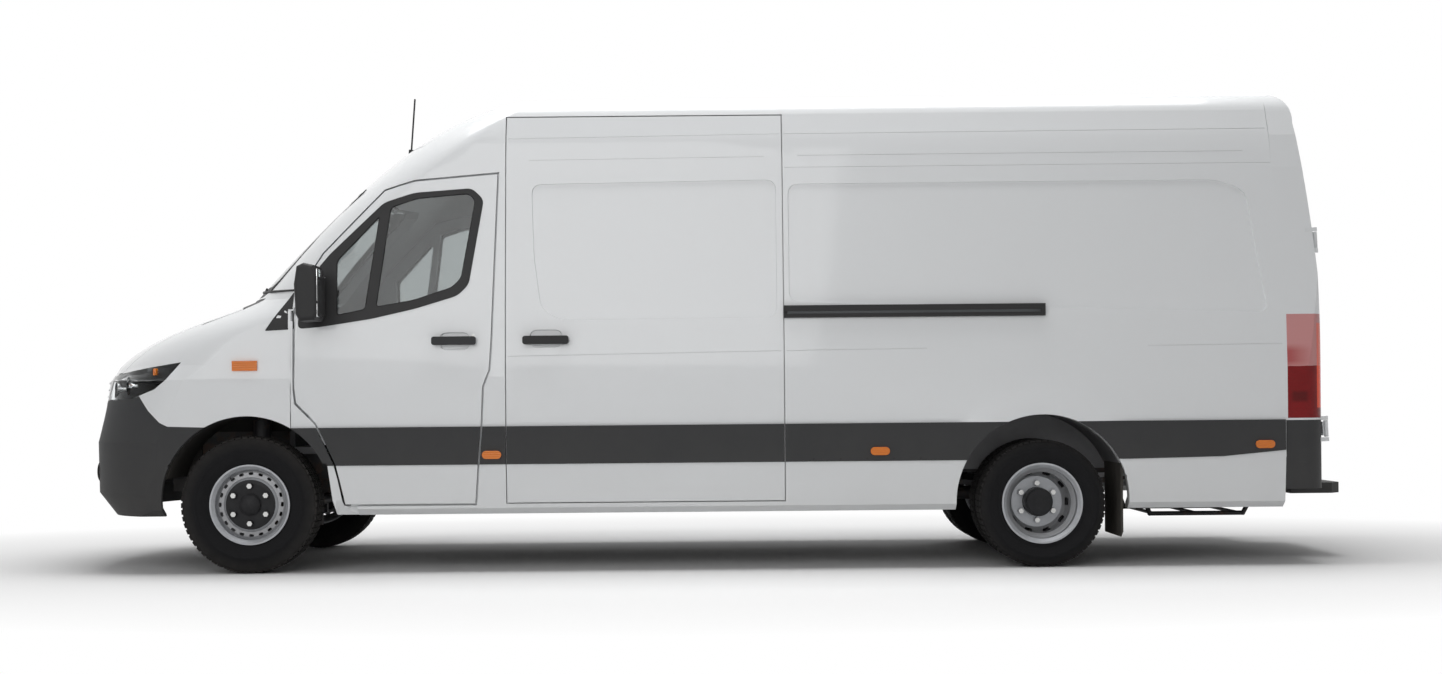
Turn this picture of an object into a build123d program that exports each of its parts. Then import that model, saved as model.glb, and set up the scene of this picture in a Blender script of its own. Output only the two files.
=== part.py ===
from build123d import *

import math
import os
from functools import lru_cache

# High-roof panel van with twin rear wheels, in millimetres.
# Lengths along X are measured from the front axle, rearward positive, and every
# piece is shifted by FRAME_CENTRE at export, so that the origin is under the
# middle of the whole van. +Y is the van's right side, +Z is up, ground at 0.

# Driving dimensions
WHEELBASE = 4325.0
NOSE_X = -1004.0
REAR_X = 5868.0
HALF_WIDTH = 1000.0
ROOF_Z = 2665.0
SILL_Z = 316.0
NOSE_END_X = 2400.0

# Wall build-up, measured inward from the outer skin
DOOR_SKIN = 20.0
PANEL_SKIN = 28.0
WALL = 60.0
DOOR_GAP = 11.0
DOOR_STEP = 25.0
GLASS_SINK = 3.0
GLASS_THICKNESS = 6.0

# Clearance at pins, hubs and bearings
RUNNING_GAP = 0.3

# Wheels and tyres
FRONT_TYRE_DIAMETER = 750.0
REAR_TYRE_DIAMETER = 695.0
FRONT_TYRE_WIDTH = 230.0
REAR_TYRE_WIDTH = 200.0
RIM_DIAMETER = 440.0
RIM_WIDTH = 165.0
RIM_WALL = 9.0
FRONT_WHEEL_Y = 852.0
REAR_OUTER_Y = 885.0
REAR_INNER_Y = 650.0
KINGPIN_Y = 735.0
BOLT_CIRCLE = 205.0
NUT_COUNT = 6

# Chassis
RAIL_Y = 430.0
RAIL_WIDTH = 80.0
RAIL_BOTTOM_Z = 500.0
FLOOR_Z = 640.0
FLOOR_THICKNESS = 40.0
RAIL_FRONT_X = -780.0

# Rear step
STEP_REACH = 244.0
STEP_HALF_WIDTH = 520.0
STEP_TOP_Z = 425.0
STEP_THICKNESS = 60.0

FRONT_HUB_Z = FRONT_TYRE_DIAMETER / 2
REAR_HUB_Z = REAR_TYRE_DIAMETER / 2
STEP_END_X = REAR_X + STEP_REACH
FRAME_CENTRE = (NOSE_X + STEP_END_X) / 2
ROOF_CROWN_DROP = 63.0

# Half outline of the body section: side half-width at each height
SIDE_PROFILE = [
    # height, half-width
    (SILL_Z, HALF_WIDTH - 60),
    (SILL_Z + 34, HALF_WIDTH - 15),
    (560.0, HALF_WIDTH),
    (1063.0, HALF_WIDTH),
    (1370.0, HALF_WIDTH - 17),
    (2175.0, HALF_WIDTH - 92),
    (2355.0, HALF_WIDTH - 116),
    (ROOF_Z - 175, HALF_WIDTH - 155),
]
ROOF_SHOULDER_Y = HALF_WIDTH - 280

# Plan outlines of the nose, stacked in height
NOSE_ROWS = [
    # height, front x on the centre line, front arc radius, corner radius, lean from vertical in degrees
    (SILL_Z, NOSE_X + 104, 2600, 480, 0),
    (440, NOSE_X + 6, 2600, 500, 0),
    (720, NOSE_X, 2600, 520, 0),
    (1060, NOSE_X + 19, 1500, 620, 8),
    (1140, NOSE_X + 54, 1150, 690, 38),
    (1240, NOSE_X + 189, 1250, 680, 58),
    (1350, NOSE_X + 424, 1400, 620, 64),
    (1440, NOSE_X + 684, 1500, 560, 66),
    (1500, NOSE_X + 854, 1700, 480, 55),
    (1800, NOSE_X + 1129, 1600, 420, 44),
    (2120, NOSE_X + 1454, 1500, 380, 46),
    (2286, NOSE_X + 1644, 1400, 380, 50),
    (2514, NOSE_X + 2004, 1300, 380, 64),
    (2610, NOSE_X + 2274, 1200, 390, 72),
    (2700, NOSE_X + 2644, 1100, 400, 78),
]
BONNET_EDGE_ROW = 4
SCREEN_BASE_ROW = 8


def side_prism(points, y_low, y_high, radius=0.0):
    """Outline in the side view (x, z), extruded across the van from y_low to y_high."""
    face = make_face(Polyline(*points, close=True))
    if radius:
        face = fillet(face.vertices(), radius)
    return extrude(Plane.XZ.offset(-y_high) * face, amount=y_high - y_low)


def front_prism(points, x_low, x_high, radius=0.0):
    """Outline in the front view (y, z), extruded along the van."""
    face = make_face(Polyline(*points, close=True))
    if radius:
        face = fillet(face.vertices(), radius)
    return extrude(Plane.YZ.offset(x_low) * face, amount=x_high - x_low)


def plan_prism(points, z_low, z_high, radius=0.0):
    """Outline in plan (x, y), extruded upward."""
    face = make_face(Polyline(*points, close=True))
    if radius:
        face = fillet(face.vertices(), radius)
    return extrude(Plane.XY.offset(z_low) * face, amount=z_high - z_low)


def box_between(x_low, x_high, y_low, y_high, z_low, z_high):
    """Box given by its limits."""
    centre = ((x_low + x_high) / 2, (y_low + y_high) / 2, (z_low + z_high) / 2)
    return Pos(*centre) * Box(x_high - x_low, y_high - y_low, z_high - z_low)


def rod(start, end, radius):
    """Round bar between two points."""
    direction = Vector(*end) - Vector(*start)
    return Part() + Solid.make_cylinder(radius, direction.length, Plane(origin=start, z_dir=direction))


def cross_rod(x, z, y_low, y_high, radius):
    """Round bar across the van."""
    return rod((x, y_low, z), (x, y_high, z), radius)


def grow(points, amount):
    """Side-view outline grown by amount, or shrunk when it is negative, as a face."""
    face = make_face(Polyline(*points, close=True))
    return offset(face, amount, kind=Kind.INTERSECTION) if amount else face


def side_prism_face(face, y_low, y_high):
    return extrude(Plane.XZ.offset(-y_high) * face, amount=y_high - y_low)


def front_prism_face(face, x_low, x_high):
    return extrude(Plane.YZ.offset(x_low) * face, amount=x_high - x_low)


def mirrored(shape):
    """The same shape on the van's other side."""
    return mirror(shape, about=Plane.XZ)


def both_sides(shape):
    return shape + mirrored(shape)


def side_half_width(height):
    """Half-width of the body side at a height."""
    for (z_low, y_low), (z_high, y_high) in zip(SIDE_PROFILE, SIDE_PROFILE[1:]):
        if height <= z_high:
            share = max(0.0, (height - z_low) / (z_high - z_low))
            return y_low + (y_high - y_low) * share
    above = height - SIDE_PROFILE[-1][0]
    return SIDE_PROFILE[-1][1] - above * 0.35


def section_face(inset):
    """Body cross-section in (y, z). Inner sections run on below the sills, so the wall is open there."""
    bottom = SILL_Z if inset == 0 else SILL_Z - 2 * inset
    side = [(y, z) for z, y in SIDE_PROFILE]
    if inset:
        side.insert(0, (side[0][0], bottom))
    shoulder_z = ROOF_Z - ROOF_CROWN_DROP
    corner = (side[-1][0] - 45, side[-1][1] + 75)
    outline = Polyline((0, bottom), *side)
    outline += ThreePointArc(side[-1], corner, (ROOF_SHOULDER_Y, shoulder_z))
    crown_mid = (ROOF_SHOULDER_Y * 0.53, ROOF_Z - ROOF_CROWN_DROP * 0.27)
    outline += ThreePointArc((ROOF_SHOULDER_Y, shoulder_z), crown_mid, (0, ROOF_Z))
    outline += Line((0, ROOF_Z), (0, bottom))
    half = make_face(outline)
    face = half + mirror(half, about=Plane.YZ)
    return offset(face, -inset, kind=Kind.INTERSECTION) if inset else face


def nose_wire(row, inset):
    """Plan outline of the nose at one height: front arc, two corner arcs and straight sides."""
    height, front_x, front_radius, corner_radius, lean = row
    lean = math.radians(lean)
    half = side_half_width(max(height, SIDE_PROFILE[2][0])) + 3 - inset
    z = height - inset * math.sin(lean)
    x = front_x + inset * math.cos(lean)
    if inset and height == SILL_Z:
        z -= 2 * inset
    front_radius = front_radius - inset
    corner_radius = corner_radius - inset
    arc_centre = x + front_radius
    corner_y = half - corner_radius
    corner_x = arc_centre - math.sqrt((front_radius - corner_radius) ** 2 - corner_y ** 2)
    joint_angle = math.atan2(corner_y, arc_centre - corner_x)
    joint = (arc_centre - front_radius * math.cos(joint_angle), front_radius * math.sin(joint_angle))
    mid_angle = (joint_angle + math.pi / 2) / 2
    middle = (corner_x - corner_radius * math.cos(mid_angle), corner_y + corner_radius * math.sin(mid_angle))

    def at(px, py):
        return (px, py, z)

    return Wire([
        Edge.make_line(at(NOSE_END_X, -half), at(NOSE_END_X, half)),
        Edge.make_line(at(NOSE_END_X, half), at(corner_x, half)),
        Edge.make_three_point_arc(at(corner_x, half), at(*middle), at(*joint)),
        Edge.make_three_point_arc(at(*joint), at(x, 0), at(joint[0], -joint[1])),
        Edge.make_three_point_arc(at(joint[0], -joint[1]), at(middle[0], -middle[1]), at(corner_x, -half)),
        Edge.make_line(at(corner_x, -half), at(NOSE_END_X, -half)),
    ])


def nose_solid(inset):
    """Nose from three lofts that meet at the bonnet's front edge and at the screen's base."""
    wires = [nose_wire(row, inset) for row in NOSE_ROWS]
    spans = [(0, BONNET_EDGE_ROW), (BONNET_EDGE_ROW, SCREEN_BASE_ROW), (SCREEN_BASE_ROW, len(wires) - 1)]
    nose = Part()
    for first, last in spans:
        nose += Solid.make_loft(wires[first:last + 1], ruled=first == 0)
    return nose


def rear_face(inset):
    """Side view of the load body: upright below the waist, leaning forward to the roof."""
    bottom = SILL_Z if inset == 0 else SILL_Z - 2 * inset
    start = NOSE_END_X - 400
    waist = (REAR_X - 6, 1100)
    shoulder = (REAR_X - 133, 2420)
    top = (REAR_X - 308, 2615)
    outline = Polyline((start, bottom), (REAR_X, bottom), waist)
    outline += ThreePointArc(waist, (REAR_X - 56, 1840), shoulder)
    outline += ThreePointArc(shoulder, (REAR_X - 178, 2560), top)
    outline += Polyline(top, (REAR_X - 568, ROOF_Z + 35), (start, ROOF_Z + 35), (start, bottom))
    face = make_face(outline)
    return offset(face, -inset, kind=Kind.INTERSECTION) if inset else face


@lru_cache(maxsize=None)
def tube(inset):
    """The body section, run along the whole van."""
    return extrude(Plane.YZ.offset(NOSE_X - 200) * section_face(inset), amount=REAR_X - NOSE_X + 400)


@lru_cache(maxsize=None)
def nose_body(inset):
    """Body in front of NOSE_END_X, inset from the outer skin."""
    return nose_solid(inset) & tube(inset)


@lru_cache(maxsize=None)
def load_body(inset):
    """Body behind NOSE_END_X, inset from the outer skin."""
    window = Pos(NOSE_END_X + 2500, 1500) * Rectangle(5000, 4400)
    rear = extrude(Plane.XZ * (rear_face(inset) & window), amount=1200, both=True) & tube(inset)
    return rounded_rear(rear, inset)


@lru_cache(maxsize=None)
def envelope(inset):
    """Whole body as one closed form, inset from the outer skin."""
    return nose_body(inset) + load_body(inset)


def rounded_rear(rear, inset):
    """Plan corners of the rear end as arcs."""
    radius = 120 - inset if inset < 100 else 20
    x_end = REAR_X - inset
    half = HALF_WIDTH - inset
    outline = Polyline((NOSE_END_X - 10, 0), (x_end, 0), (x_end, half - radius))
    outline += RadiusArc((x_end, half - radius), (x_end - radius, half), -radius)
    outline += Polyline((x_end - radius, half), (NOSE_END_X - 10, half), (NOSE_END_X - 10, 0))
    face = make_face(outline)
    plan = face + mirror(face, about=Plane.XZ)
    return rear & extrude(plan, amount=ROOF_Z + 300)


@lru_cache(maxsize=None)
def layer(outer, inner):
    """The part of the wall between two depths below the skin."""
    return envelope(outer) - envelope(inner)


# Side-view outlines (x, z)
FRONT_DOOR = [
    (535, 376), (506, 510), (483, 603), (382, 820), (275, 930), (266, 1010), (269, 1325), (285, 1540),
    (410, 1745), (745, 2090), (914, 2135), (1366, 2172), (1331, 1270), (1320, 1100), (1284, 1010),
    (1274, 790), (1256, 576), (1240, 376),
]
MAIN_WINDOW = [
    (697, 1428), (778, 2012), (930, 2060), (1222, 2085), (1262, 2035), (1185, 1590), (1130, 1535), (915, 1465),
]
QUARTER_WINDOW = [(480, 1385), (480, 1705), (738, 1972), (658, 1418)]
SLIDING_DOOR = [(1415, 378), (1415, 2490), (2922, 2490), (2922, 378)]
SEAM_X = 1404.0
REAR_SEAM = [(5590, 2800), (5590, 2550), (5605, 2190), (5639, 1497), (5645, 790), (5640, 200)]
ROOF_EDGE_Z = 2500.0
ROOF_LINE = [(200, 2140), (560, 2140), (SEAM_X, 2192), (SEAM_X, ROOF_EDGE_Z), (5590, ROOF_EDGE_Z)]
BUMPER_LINE = [(-640, 960), (-600, 975), (-537, 893), (-470, 829), (-425, 807), (-200, 800)]
HEADLAMP = [(-1100, 1060), (-360, 1157), (-440, 1060), (-505, 1010), (-600, 976), (-640, 960), (-1100, 945)]
LAMP_INNER_Y = 500.0
BONNET_SEAM = [(-1100, 560), (-840, 640), (-560, 700), (-60, 775)]
FRONT_ARCH_RADIUS = 465.0
REAR_ARCH_RADIUS = 470.0
STRIPE_LOW_Z = 587.0
STRIPE_HIGH_Z = 793.0
STRIPE_PROUD = 12.0


def front_arch_cut():
    """Wheel opening over the front wheel, straight sided below the hub."""
    top = cross_rod(0, 395, -1100, 1100, FRONT_ARCH_RADIUS)
    foot = side_prism([(-425, 600), (-425, 200), (492, 200), (465, 395), (440, 600)], -1100, 1100)
    return top + foot


def rear_arch_cut():
    """Wheel opening over the twin rear wheels."""
    top = cross_rod(WHEELBASE, 362, -1100, 1100, REAR_ARCH_RADIUS)
    left = WHEELBASE - REAR_ARCH_RADIUS
    foot = side_prism([(left, 200), (left, 362), (WHEELBASE + 455, 500), (WHEELBASE + 455, 200)], -1100, 1100)
    return top + foot


PARTS = {}


def add(name, shape):
    """Keep one node's shape under its name."""
    PARTS[name] = shape


def largest(shape):
    """The biggest solid of a cut, without slivers."""
    return Part() + max(shape.solids(), key=lambda s: s.volume)


def half_space(side):
    """All of one side of the van: -1 is the left, 1 the right."""
    return box_between(-2000, 7000, min(0, side * 1500), max(0, side * 1500), 0, 3200)


REACH = 1200.0
REAR_DOOR = [(-5, 600), (-5, 2440), (-745, 2440), (-790, 2330), (-815, 2175), (-880, 1370), (-880, 600)]
REAR_HINGE_Y = 912.0
REAR_HINGE_OUT = 24.0
REAR_HINGE_LOW = (REAR_X - 2 + REAR_HINGE_OUT, 740)
REAR_HINGE_HIGH = (REAR_X - 53 + REAR_HINGE_OUT, 1770)
WINDSCREEN = [
    (-700, 1512), (-742, 1560), (-655, 2090), (-620, 2118), (620, 2118), (655, 2090), (742, 1560), (700, 1512)]
BONNET_REAR_X = -188.0
BONNET_GAP = 6.0
BONNET_LANDING_Y = 95.0
SLIDE_GAP = 6.0
LAMP_LOW_Z = 800.0
LAMP_HIGH_Z = 1365.0
CORNER_Y = 898.0


def build_rear():
    """Rear frame, its two doors, lamps, bumper and step."""
    wall = (load_body(0) - load_body(WALL)) & box_between(5500, 6200, -REACH, REACH, 0, 3000)
    region = side_prism(REAR_SEAM + [(7000, 200), (7000, 2800)], -REACH, REACH)
    rear = wall & region
    bumper_region = side_prism([(5640, 200), (5645, 590), (7000, 590), (7000, 200)], -REACH, REACH)
    bumper_region += both_sides(side_prism([(5645, 500), (5645, 789), (7000, 789), (7000, 500)], -REACH, -CORNER_Y))
    bumper = (rear & bumper_region) - box_between(5000, 7000, -REACH, REACH, 0, 415)
    frame = rear - bumper_region - box_between(5000, 7000, -REACH, REACH, 0, 590)
    opening = [p for p in REAR_DOOR if p[0] < -10] + [(-y, z) for y, z in reversed(REAR_DOOR) if y < -10]
    wide = front_prism_face(grow(opening, DOOR_GAP), 5500, 7000)
    wide -= load_body(PANEL_SKIN)
    hole = wide + front_prism_face(grow(opening, DOOR_GAP - DOOR_STEP), 5500, 7000)
    frame -= hole
    bumper -= hole
    lamps = both_sides(side_prism([(5655, LAMP_LOW_Z), (5655, LAMP_HIGH_Z), (5950, LAMP_HIGH_Z), (5950, LAMP_LOW_Z)],
                                  -REACH, -CORNER_Y))
    skin = wall & box_between(5600, 6000, -REACH, REACH, 700, 1500) - load_body(PANEL_SKIN)
    lamps = skin & lamps
    frame -= lamps
    leaf = (wall - load_body(DOOR_SKIN)) & front_prism_face(grow(REAR_DOOR, 0), 5500, 6000)
    leaf += (wall & load_body(DOOR_SKIN)) & front_prism_face(grow(REAR_DOOR, -DOOR_STEP), 5500, 6000)
    leaf_hinges, frame_hinges = rear_hinges()
    leaf += leaf_hinges - frame
    frame_hinges = both_sides(frame_hinges)
    frame += frame_hinges
    bumper -= frame_hinges
    lamps -= frame_hinges
    add("rear_door_left", leaf)
    add("rear_door_right", mirrored(leaf))
    add("rear_frame", frame)
    add("tail_lamps", lamps)
    step = plan_prism(
        [(REAR_X - 50, -STEP_HALF_WIDTH), (STEP_END_X - 60, -STEP_HALF_WIDTH), (STEP_END_X, -STEP_HALF_WIDTH + 60),
         (STEP_END_X, STEP_HALF_WIDTH - 60), (STEP_END_X - 60, STEP_HALF_WIDTH), (REAR_X - 50, STEP_HALF_WIDTH)],
        STEP_TOP_Z - STEP_THICKNESS, STEP_TOP_Z)
    add("rear_bumper", bumper)
    add("rear_step", step - bumper)


def rear_hinges():
    """Leaf and frame halves of the left rear door's hinges, on one leaning pin line."""
    low_x, low_z = REAR_HINGE_LOW
    high_x, high_z = REAR_HINGE_HIGH
    lean = math.degrees(math.atan2(low_x - high_x, high_z - low_z))
    leaf_half, frame_half = Part(), Part()
    for x, z in (REAR_HINGE_LOW, REAR_HINGE_HIGH):
        place = Pos(x, -REAR_HINGE_Y, z) * Rot(0, -lean, 0)
        leaf = Cylinder(12, 90) + box_between(-18, -6, 0, 100, -38, 38)
        leaf += box_between(-REAR_HINGE_OUT - 8, -6, 70, 100, -38, 38)
        leaf_half += place * leaf
        for shift in (-58, 58):
            pin = Pos(0, 0, shift) * Cylinder(12, 22)
            foot = box_between(-REAR_HINGE_OUT - 36, 4, -30, 4, shift - 11, shift + 11)
            frame_half += place * (pin + foot)
    return leaf_half, frame_half


DOOR_HINGE_X = 300.0
DOOR_HINGE_Y = 985.0
DOOR_HINGE_HEIGHTS = (985.0, 1150.0)
DOOR_HINGE_SWING = 42.0
DOOR_EDGE_SWING = 56.0
DOOR_PIN_RADIUS = 6.0


def door_hinges():
    """Left front door's hinge arms with their pins, and the pockets that they need in the door."""
    x, y, pin = DOOR_HINGE_X, DOOR_HINGE_Y, DOOR_PIN_RADIUS
    inside = HALF_WIDTH - WALL
    arms, pockets = Part(), Part()
    for z in DOOR_HINGE_HEIGHTS:
        arms += rod((x, -y, z - 45), (x, -y, z + 45), pin)
        arms += box_between(x - pin, x + pin, -y, -inside + 15, z - 36, z + 36)
        arms += box_between(x - 60, x + pin, -inside - 2, -inside + 15, z - 36, z + 36)
        pockets += rod((x, -y, z - 45 - RUNNING_GAP), (x, -y, z + 45 + RUNNING_GAP), pin + RUNNING_GAP)
        pockets += box_between(x - 60, x + pin + 2.5, -y - pin - 1, -inside + 40, z - 38, z + 38)
    swing = rod((x, -y, 700), (x, -y, 1450), DOOR_HINGE_SWING)
    return arms, pockets, swing


def bonnet_plan():
    """Outline of the bonnet opening, seen from above."""
    seam_x, seam_y = BONNET_SEAM[-1]
    outline = Polyline(*[(x, -y) for x, y in BONNET_SEAM])
    outline += ThreePointArc((seam_x, -seam_y), (BONNET_REAR_X, 0), (seam_x, seam_y))
    outline += Polyline(*[(x, y) for x, y in reversed(BONNET_SEAM)], (BONNET_SEAM[0][0], -BONNET_SEAM[0][1]))
    return make_face(outline)


def build_front():
    """Nose panels, cab frame, windscreen and front doors."""
    zone = box_between(-1200, SEAM_X, -REACH, REACH, 0, 3000)
    roof_region = side_prism(ROOF_LINE + [(5590, 2800), (200, 2800)], -REACH, REACH)
    outer = nose_body(0) & zone
    under_skin = nose_body(PANEL_SKIN) & zone
    inner = nose_body(WALL) & zone
    skin = outer - under_skin
    arch = front_arch_cut()
    screen = front_prism(WINDSCREEN, -700, 900)
    door_wide = both_sides(side_prism_face(grow(FRONT_DOOR, DOOR_GAP), -REACH, -300))
    door_narrow = both_sides(side_prism_face(grow(FRONT_DOOR, DOOR_GAP - DOOR_STEP), -REACH, -300))

    nose_zone = box_between(-1200, 600, -REACH, REACH, 200, 1432) + box_between(-400, 130, -775, 775, 1300, 1512)
    cab = ((skin - nose_zone) - door_wide) + (under_skin - inner - door_narrow)
    cab = cab - roof_region - screen - arch - box_between(-1200, SEAM_X, -REACH, REACH, 0, SILL_Z)
    cab = cab - box_between(-1200, 130, -REACH, REACH, 0, 1432) - box_between(-1200, 560, -REACH, REACH, 0, 700)
    hinge_arms, hinge_pockets, hinge_swing = door_hinges()
    plan = bonnet_plan()
    bonnet_swing = extrude(Plane.XY.offset(1000) * offset(plan, BONNET_GAP), amount=700)
    bonnet_swing -= box_between(-1200, 0, -BONNET_LANDING_Y, BONNET_LANDING_Y, 900, 1800)
    cab = largest(cab - both_sides(hinge_swing) - bonnet_swing)
    add("cab_frame", cab + both_sides(hinge_arms))

    lamp_line = [(-1200, 1098), (-840, 1095), (-360, 1157), (0, 1157), (0, 1700), (-1200, 1700)]
    hole = extrude(Plane.XY.offset(1000) * plan, amount=700) & side_prism(lamp_line, -REACH, REACH)
    lid_plan = offset(plan, -BONNET_GAP, kind=Kind.INTERSECTION)
    lid_line = [(x, z + BONNET_GAP) for x, z in lamp_line]
    lid = extrude(Plane.XY.offset(1000) * lid_plan, amount=700) & side_prism(lid_line, -REACH, REACH)
    rest = skin & nose_zone
    add("bonnet", rest & lid)
    rest -= hole
    cowl = plan_prism([(-300, -775), (140, -775), (140, 775), (-300, 775)], 1250, 1512)
    add("cowl", largest(rest & cowl))
    rest -= cowl
    lamps = both_sides(side_prism(HEADLAMP, -REACH, -LAMP_INNER_Y))
    add("headlamps", rest & lamps)
    rest -= lamps
    grille = front_prism([(-460, 812), (-500, 1130), (500, 1130), (460, 812)], -1200, -600)
    add("grille", rest & grille)
    rest -= grille
    bumper = side_prism([(-1200, 200), (-1200, 1000)] + BUMPER_LINE + [(-200, 200)], -REACH, REACH)
    add("front_bumper", largest((rest & bumper) - arch))
    door_edge_swing = rod((DOOR_HINGE_X, -DOOR_HINGE_Y, 600), (DOOR_HINGE_X, -DOOR_HINGE_Y, 1450), DOOR_EDGE_SWING)
    fenders = rest - bumper - door_wide - arch - both_sides(door_edge_swing)
    add("fender_left", largest(fenders & half_space(-1)))
    add("fender_right", largest(fenders & half_space(1)))

    glass = (nose_body(GLASS_SINK) & zone) - nose_body(GLASS_SINK + GLASS_THICKNESS)
    add("windscreen", glass & screen)
    windows = side_prism(MAIN_WINDOW, -REACH, -300, 18) + side_prism(QUARTER_WINDOW, -REACH, -300, 18)
    leaf = (outer - nose_body(DOOR_SKIN)) & side_prism_face(grow(FRONT_DOOR, 0), -REACH, -300)
    leaf += ((nose_body(DOOR_SKIN) & zone) - inner) & side_prism_face(grow(FRONT_DOOR, -DOOR_STEP), -REACH, -300)
    leaf = leaf - windows - hinge_pockets
    pane = glass & windows
    add("door_left", leaf)
    add("door_right", mirrored(leaf))
    add("door_glass_left", pane)
    add("door_glass_right", mirrored(pane))
    add("roof", ((nose_body(0) - nose_body(WALL)) & roof_region) + ((load_body(0) - load_body(WALL)) & roof_region))


def build_sides():
    """Load body sides and the sliding door."""
    region = side_prism([(SEAM_X, 200), (SEAM_X, ROOF_EDGE_Z), (5590, ROOF_EDGE_Z)] + REAR_SEAM[2:], -REACH, 0)
    region_side = half_space(-1)
    wall = (nose_body(0) - nose_body(WALL)) & region_side
    wall += (load_body(0) - load_body(WALL)) & region_side
    side = (wall & region) - rear_arch_cut() + rear_flare()
    add("side_right", mirrored(side))
    zone = box_between(1300, 3100, -REACH, 0, 0, 3000)
    door_depth = envelope(DOOR_SKIN) & zone
    panel_depth = envelope(PANEL_SKIN) & zone
    skin = (wall & zone) - door_depth
    slide = skin & side_prism_face(grow(SLIDING_DOOR, 0), -REACH, -300)
    inner = (wall & side_prism_face(grow(SLIDING_DOOR, -DOOR_STEP), -REACH, -300))
    slide = slide + inner
    hole = side_prism_face(grow(SLIDING_DOOR, SLIDE_GAP), -REACH, -300)
    hole -= panel_depth
    hole += side_prism_face(grow(SLIDING_DOOR, -DOOR_STEP), -REACH, -300)
    add("side_left", side - hole)
    add("sliding_door", slide)


def rear_flare():
    """Raised lip of the left rear arch, fading into the side."""
    ring = Pos(WHEELBASE, -HALF_WIDTH, 362) * Rot(90, 0, 0) * (Part() + Solid.make_cone(640, 520, 16))
    ring = ring & box_between(3000, 5400, -REACH, 0, STRIPE_HIGH_Z, 1400)
    return ring - rear_arch_cut()


# Running gear

HUB_FLANGE_RADIUS = 79.0
HUB_RADIUS = 62.0
DISC_BRAKE_RADIUS = 135.0
FRONT_DISC_Y = 905.0
CAP_RADIUS = 57.0
CAP_DOME_RISE = 26.0


def wheel_ring(profile):
    """Ring turned about the wheel's own axis from (radius, along-axis) points, outward positive."""
    face = make_face(Polyline(*profile, close=True))
    return revolve(Plane.XZ * face, axis=Axis.Z)


def on_axle(shape, x, y, z):
    """Stand a turned wheel part, whose outward side is +Z, on the left axle end, outward to -Y."""
    return Pos(x, y, z) * Rot(90, 0, 0) * shape


def rim_profile(half_width):
    """Drop-centre rim: two flanges, two bead seats and the well."""
    flange = RIM_DIAMETER / 2
    seat = flange - 17
    well = flange - 42
    wall = RIM_WALL
    w = half_width
    return [
        (flange, -w), (flange, -w + wall), (seat, -w + wall + 4), (seat - 3, -w + 40), (well, -w + 52),
        (well, w - 70), (seat - 3, w - 44), (seat, w - wall - 4), (flange, w - wall), (flange, w),
        (flange - wall, w), (seat - wall, w - 16), (seat - wall - 3, w - 48), (well - wall, w - 70),
        (well - wall, -w + 52), (seat - wall - 3, -w + 36), (seat - wall, -w + 16), (flange - wall, -w),
    ]


def tyre_solid(diameter, width):
    """Tyre: rounded shoulders, full sidewalls and an open bead that holds the rim's seats."""
    outer = diameter / 2
    half = width / 2
    bead_half = RIM_WIDTH / 2 - RIM_WALL - 4
    bead = RIM_DIAMETER / 2 - 17
    side = (outer + bead) / 2 - 6
    outline = Polyline((bead, -bead_half), (bead + 22, -bead_half - 2))
    outline += ThreePointArc((bead + 22, -bead_half - 2), (side, -half), (outer - 24, -half + 12))
    outline += ThreePointArc((outer - 24, -half + 12), (outer - 8, -half + 22), (outer - 2, -half + 42))
    outline += ThreePointArc((outer - 2, -half + 42), (outer, 0), (outer - 2, half - 42))
    outline += ThreePointArc((outer - 2, half - 42), (outer - 8, half - 22), (outer - 24, half - 12))
    outline += ThreePointArc((outer - 24, half - 12), (side, half), (bead + 22, bead_half + 2))
    outline += Polyline((bead + 22, bead_half + 2), (bead, bead_half), (bead, bead_half - 18), (bead + 26, bead_half - 20))
    inner_side = (side - 4, half - 14)
    outline += ThreePointArc((bead + 26, bead_half - 20), inner_side, (outer - 30, half - 34))
    outline += ThreePointArc((outer - 30, half - 34), (outer - 18, 0), (outer - 30, -half + 34))
    outline += ThreePointArc((outer - 30, -half + 34), (inner_side[0], -inner_side[1]), (bead + 26, -bead_half + 20))
    outline += Polyline((bead + 26, -bead_half + 20), (bead, -bead_half + 18), (bead, -bead_half))
    return revolve(Plane.XZ * make_face(outline), axis=Axis.Z)


def hand_holes(count, circle_radius, length, width, low, high):
    """Slots round the wheel disc."""
    slot = extrude(Plane.XY.offset(low) * SlotOverall(length, width), amount=high - low)
    return [Rot(0, 0, 360 / count * i) * Pos(circle_radius, 0, 0) * Rot(0, 0, 90) * slot for i in range(count)]


def nuts(count, circle, across, low, height):
    """Hexagon wheel nuts."""
    nut = extrude(Plane.XY.offset(low) * RegularPolygon(across / 2, 6), amount=height)
    return [Rot(0, 0, 360 / count * (i + 0.5)) * Pos(circle / 2, 0, 0) * nut for i in range(count)]


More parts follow.
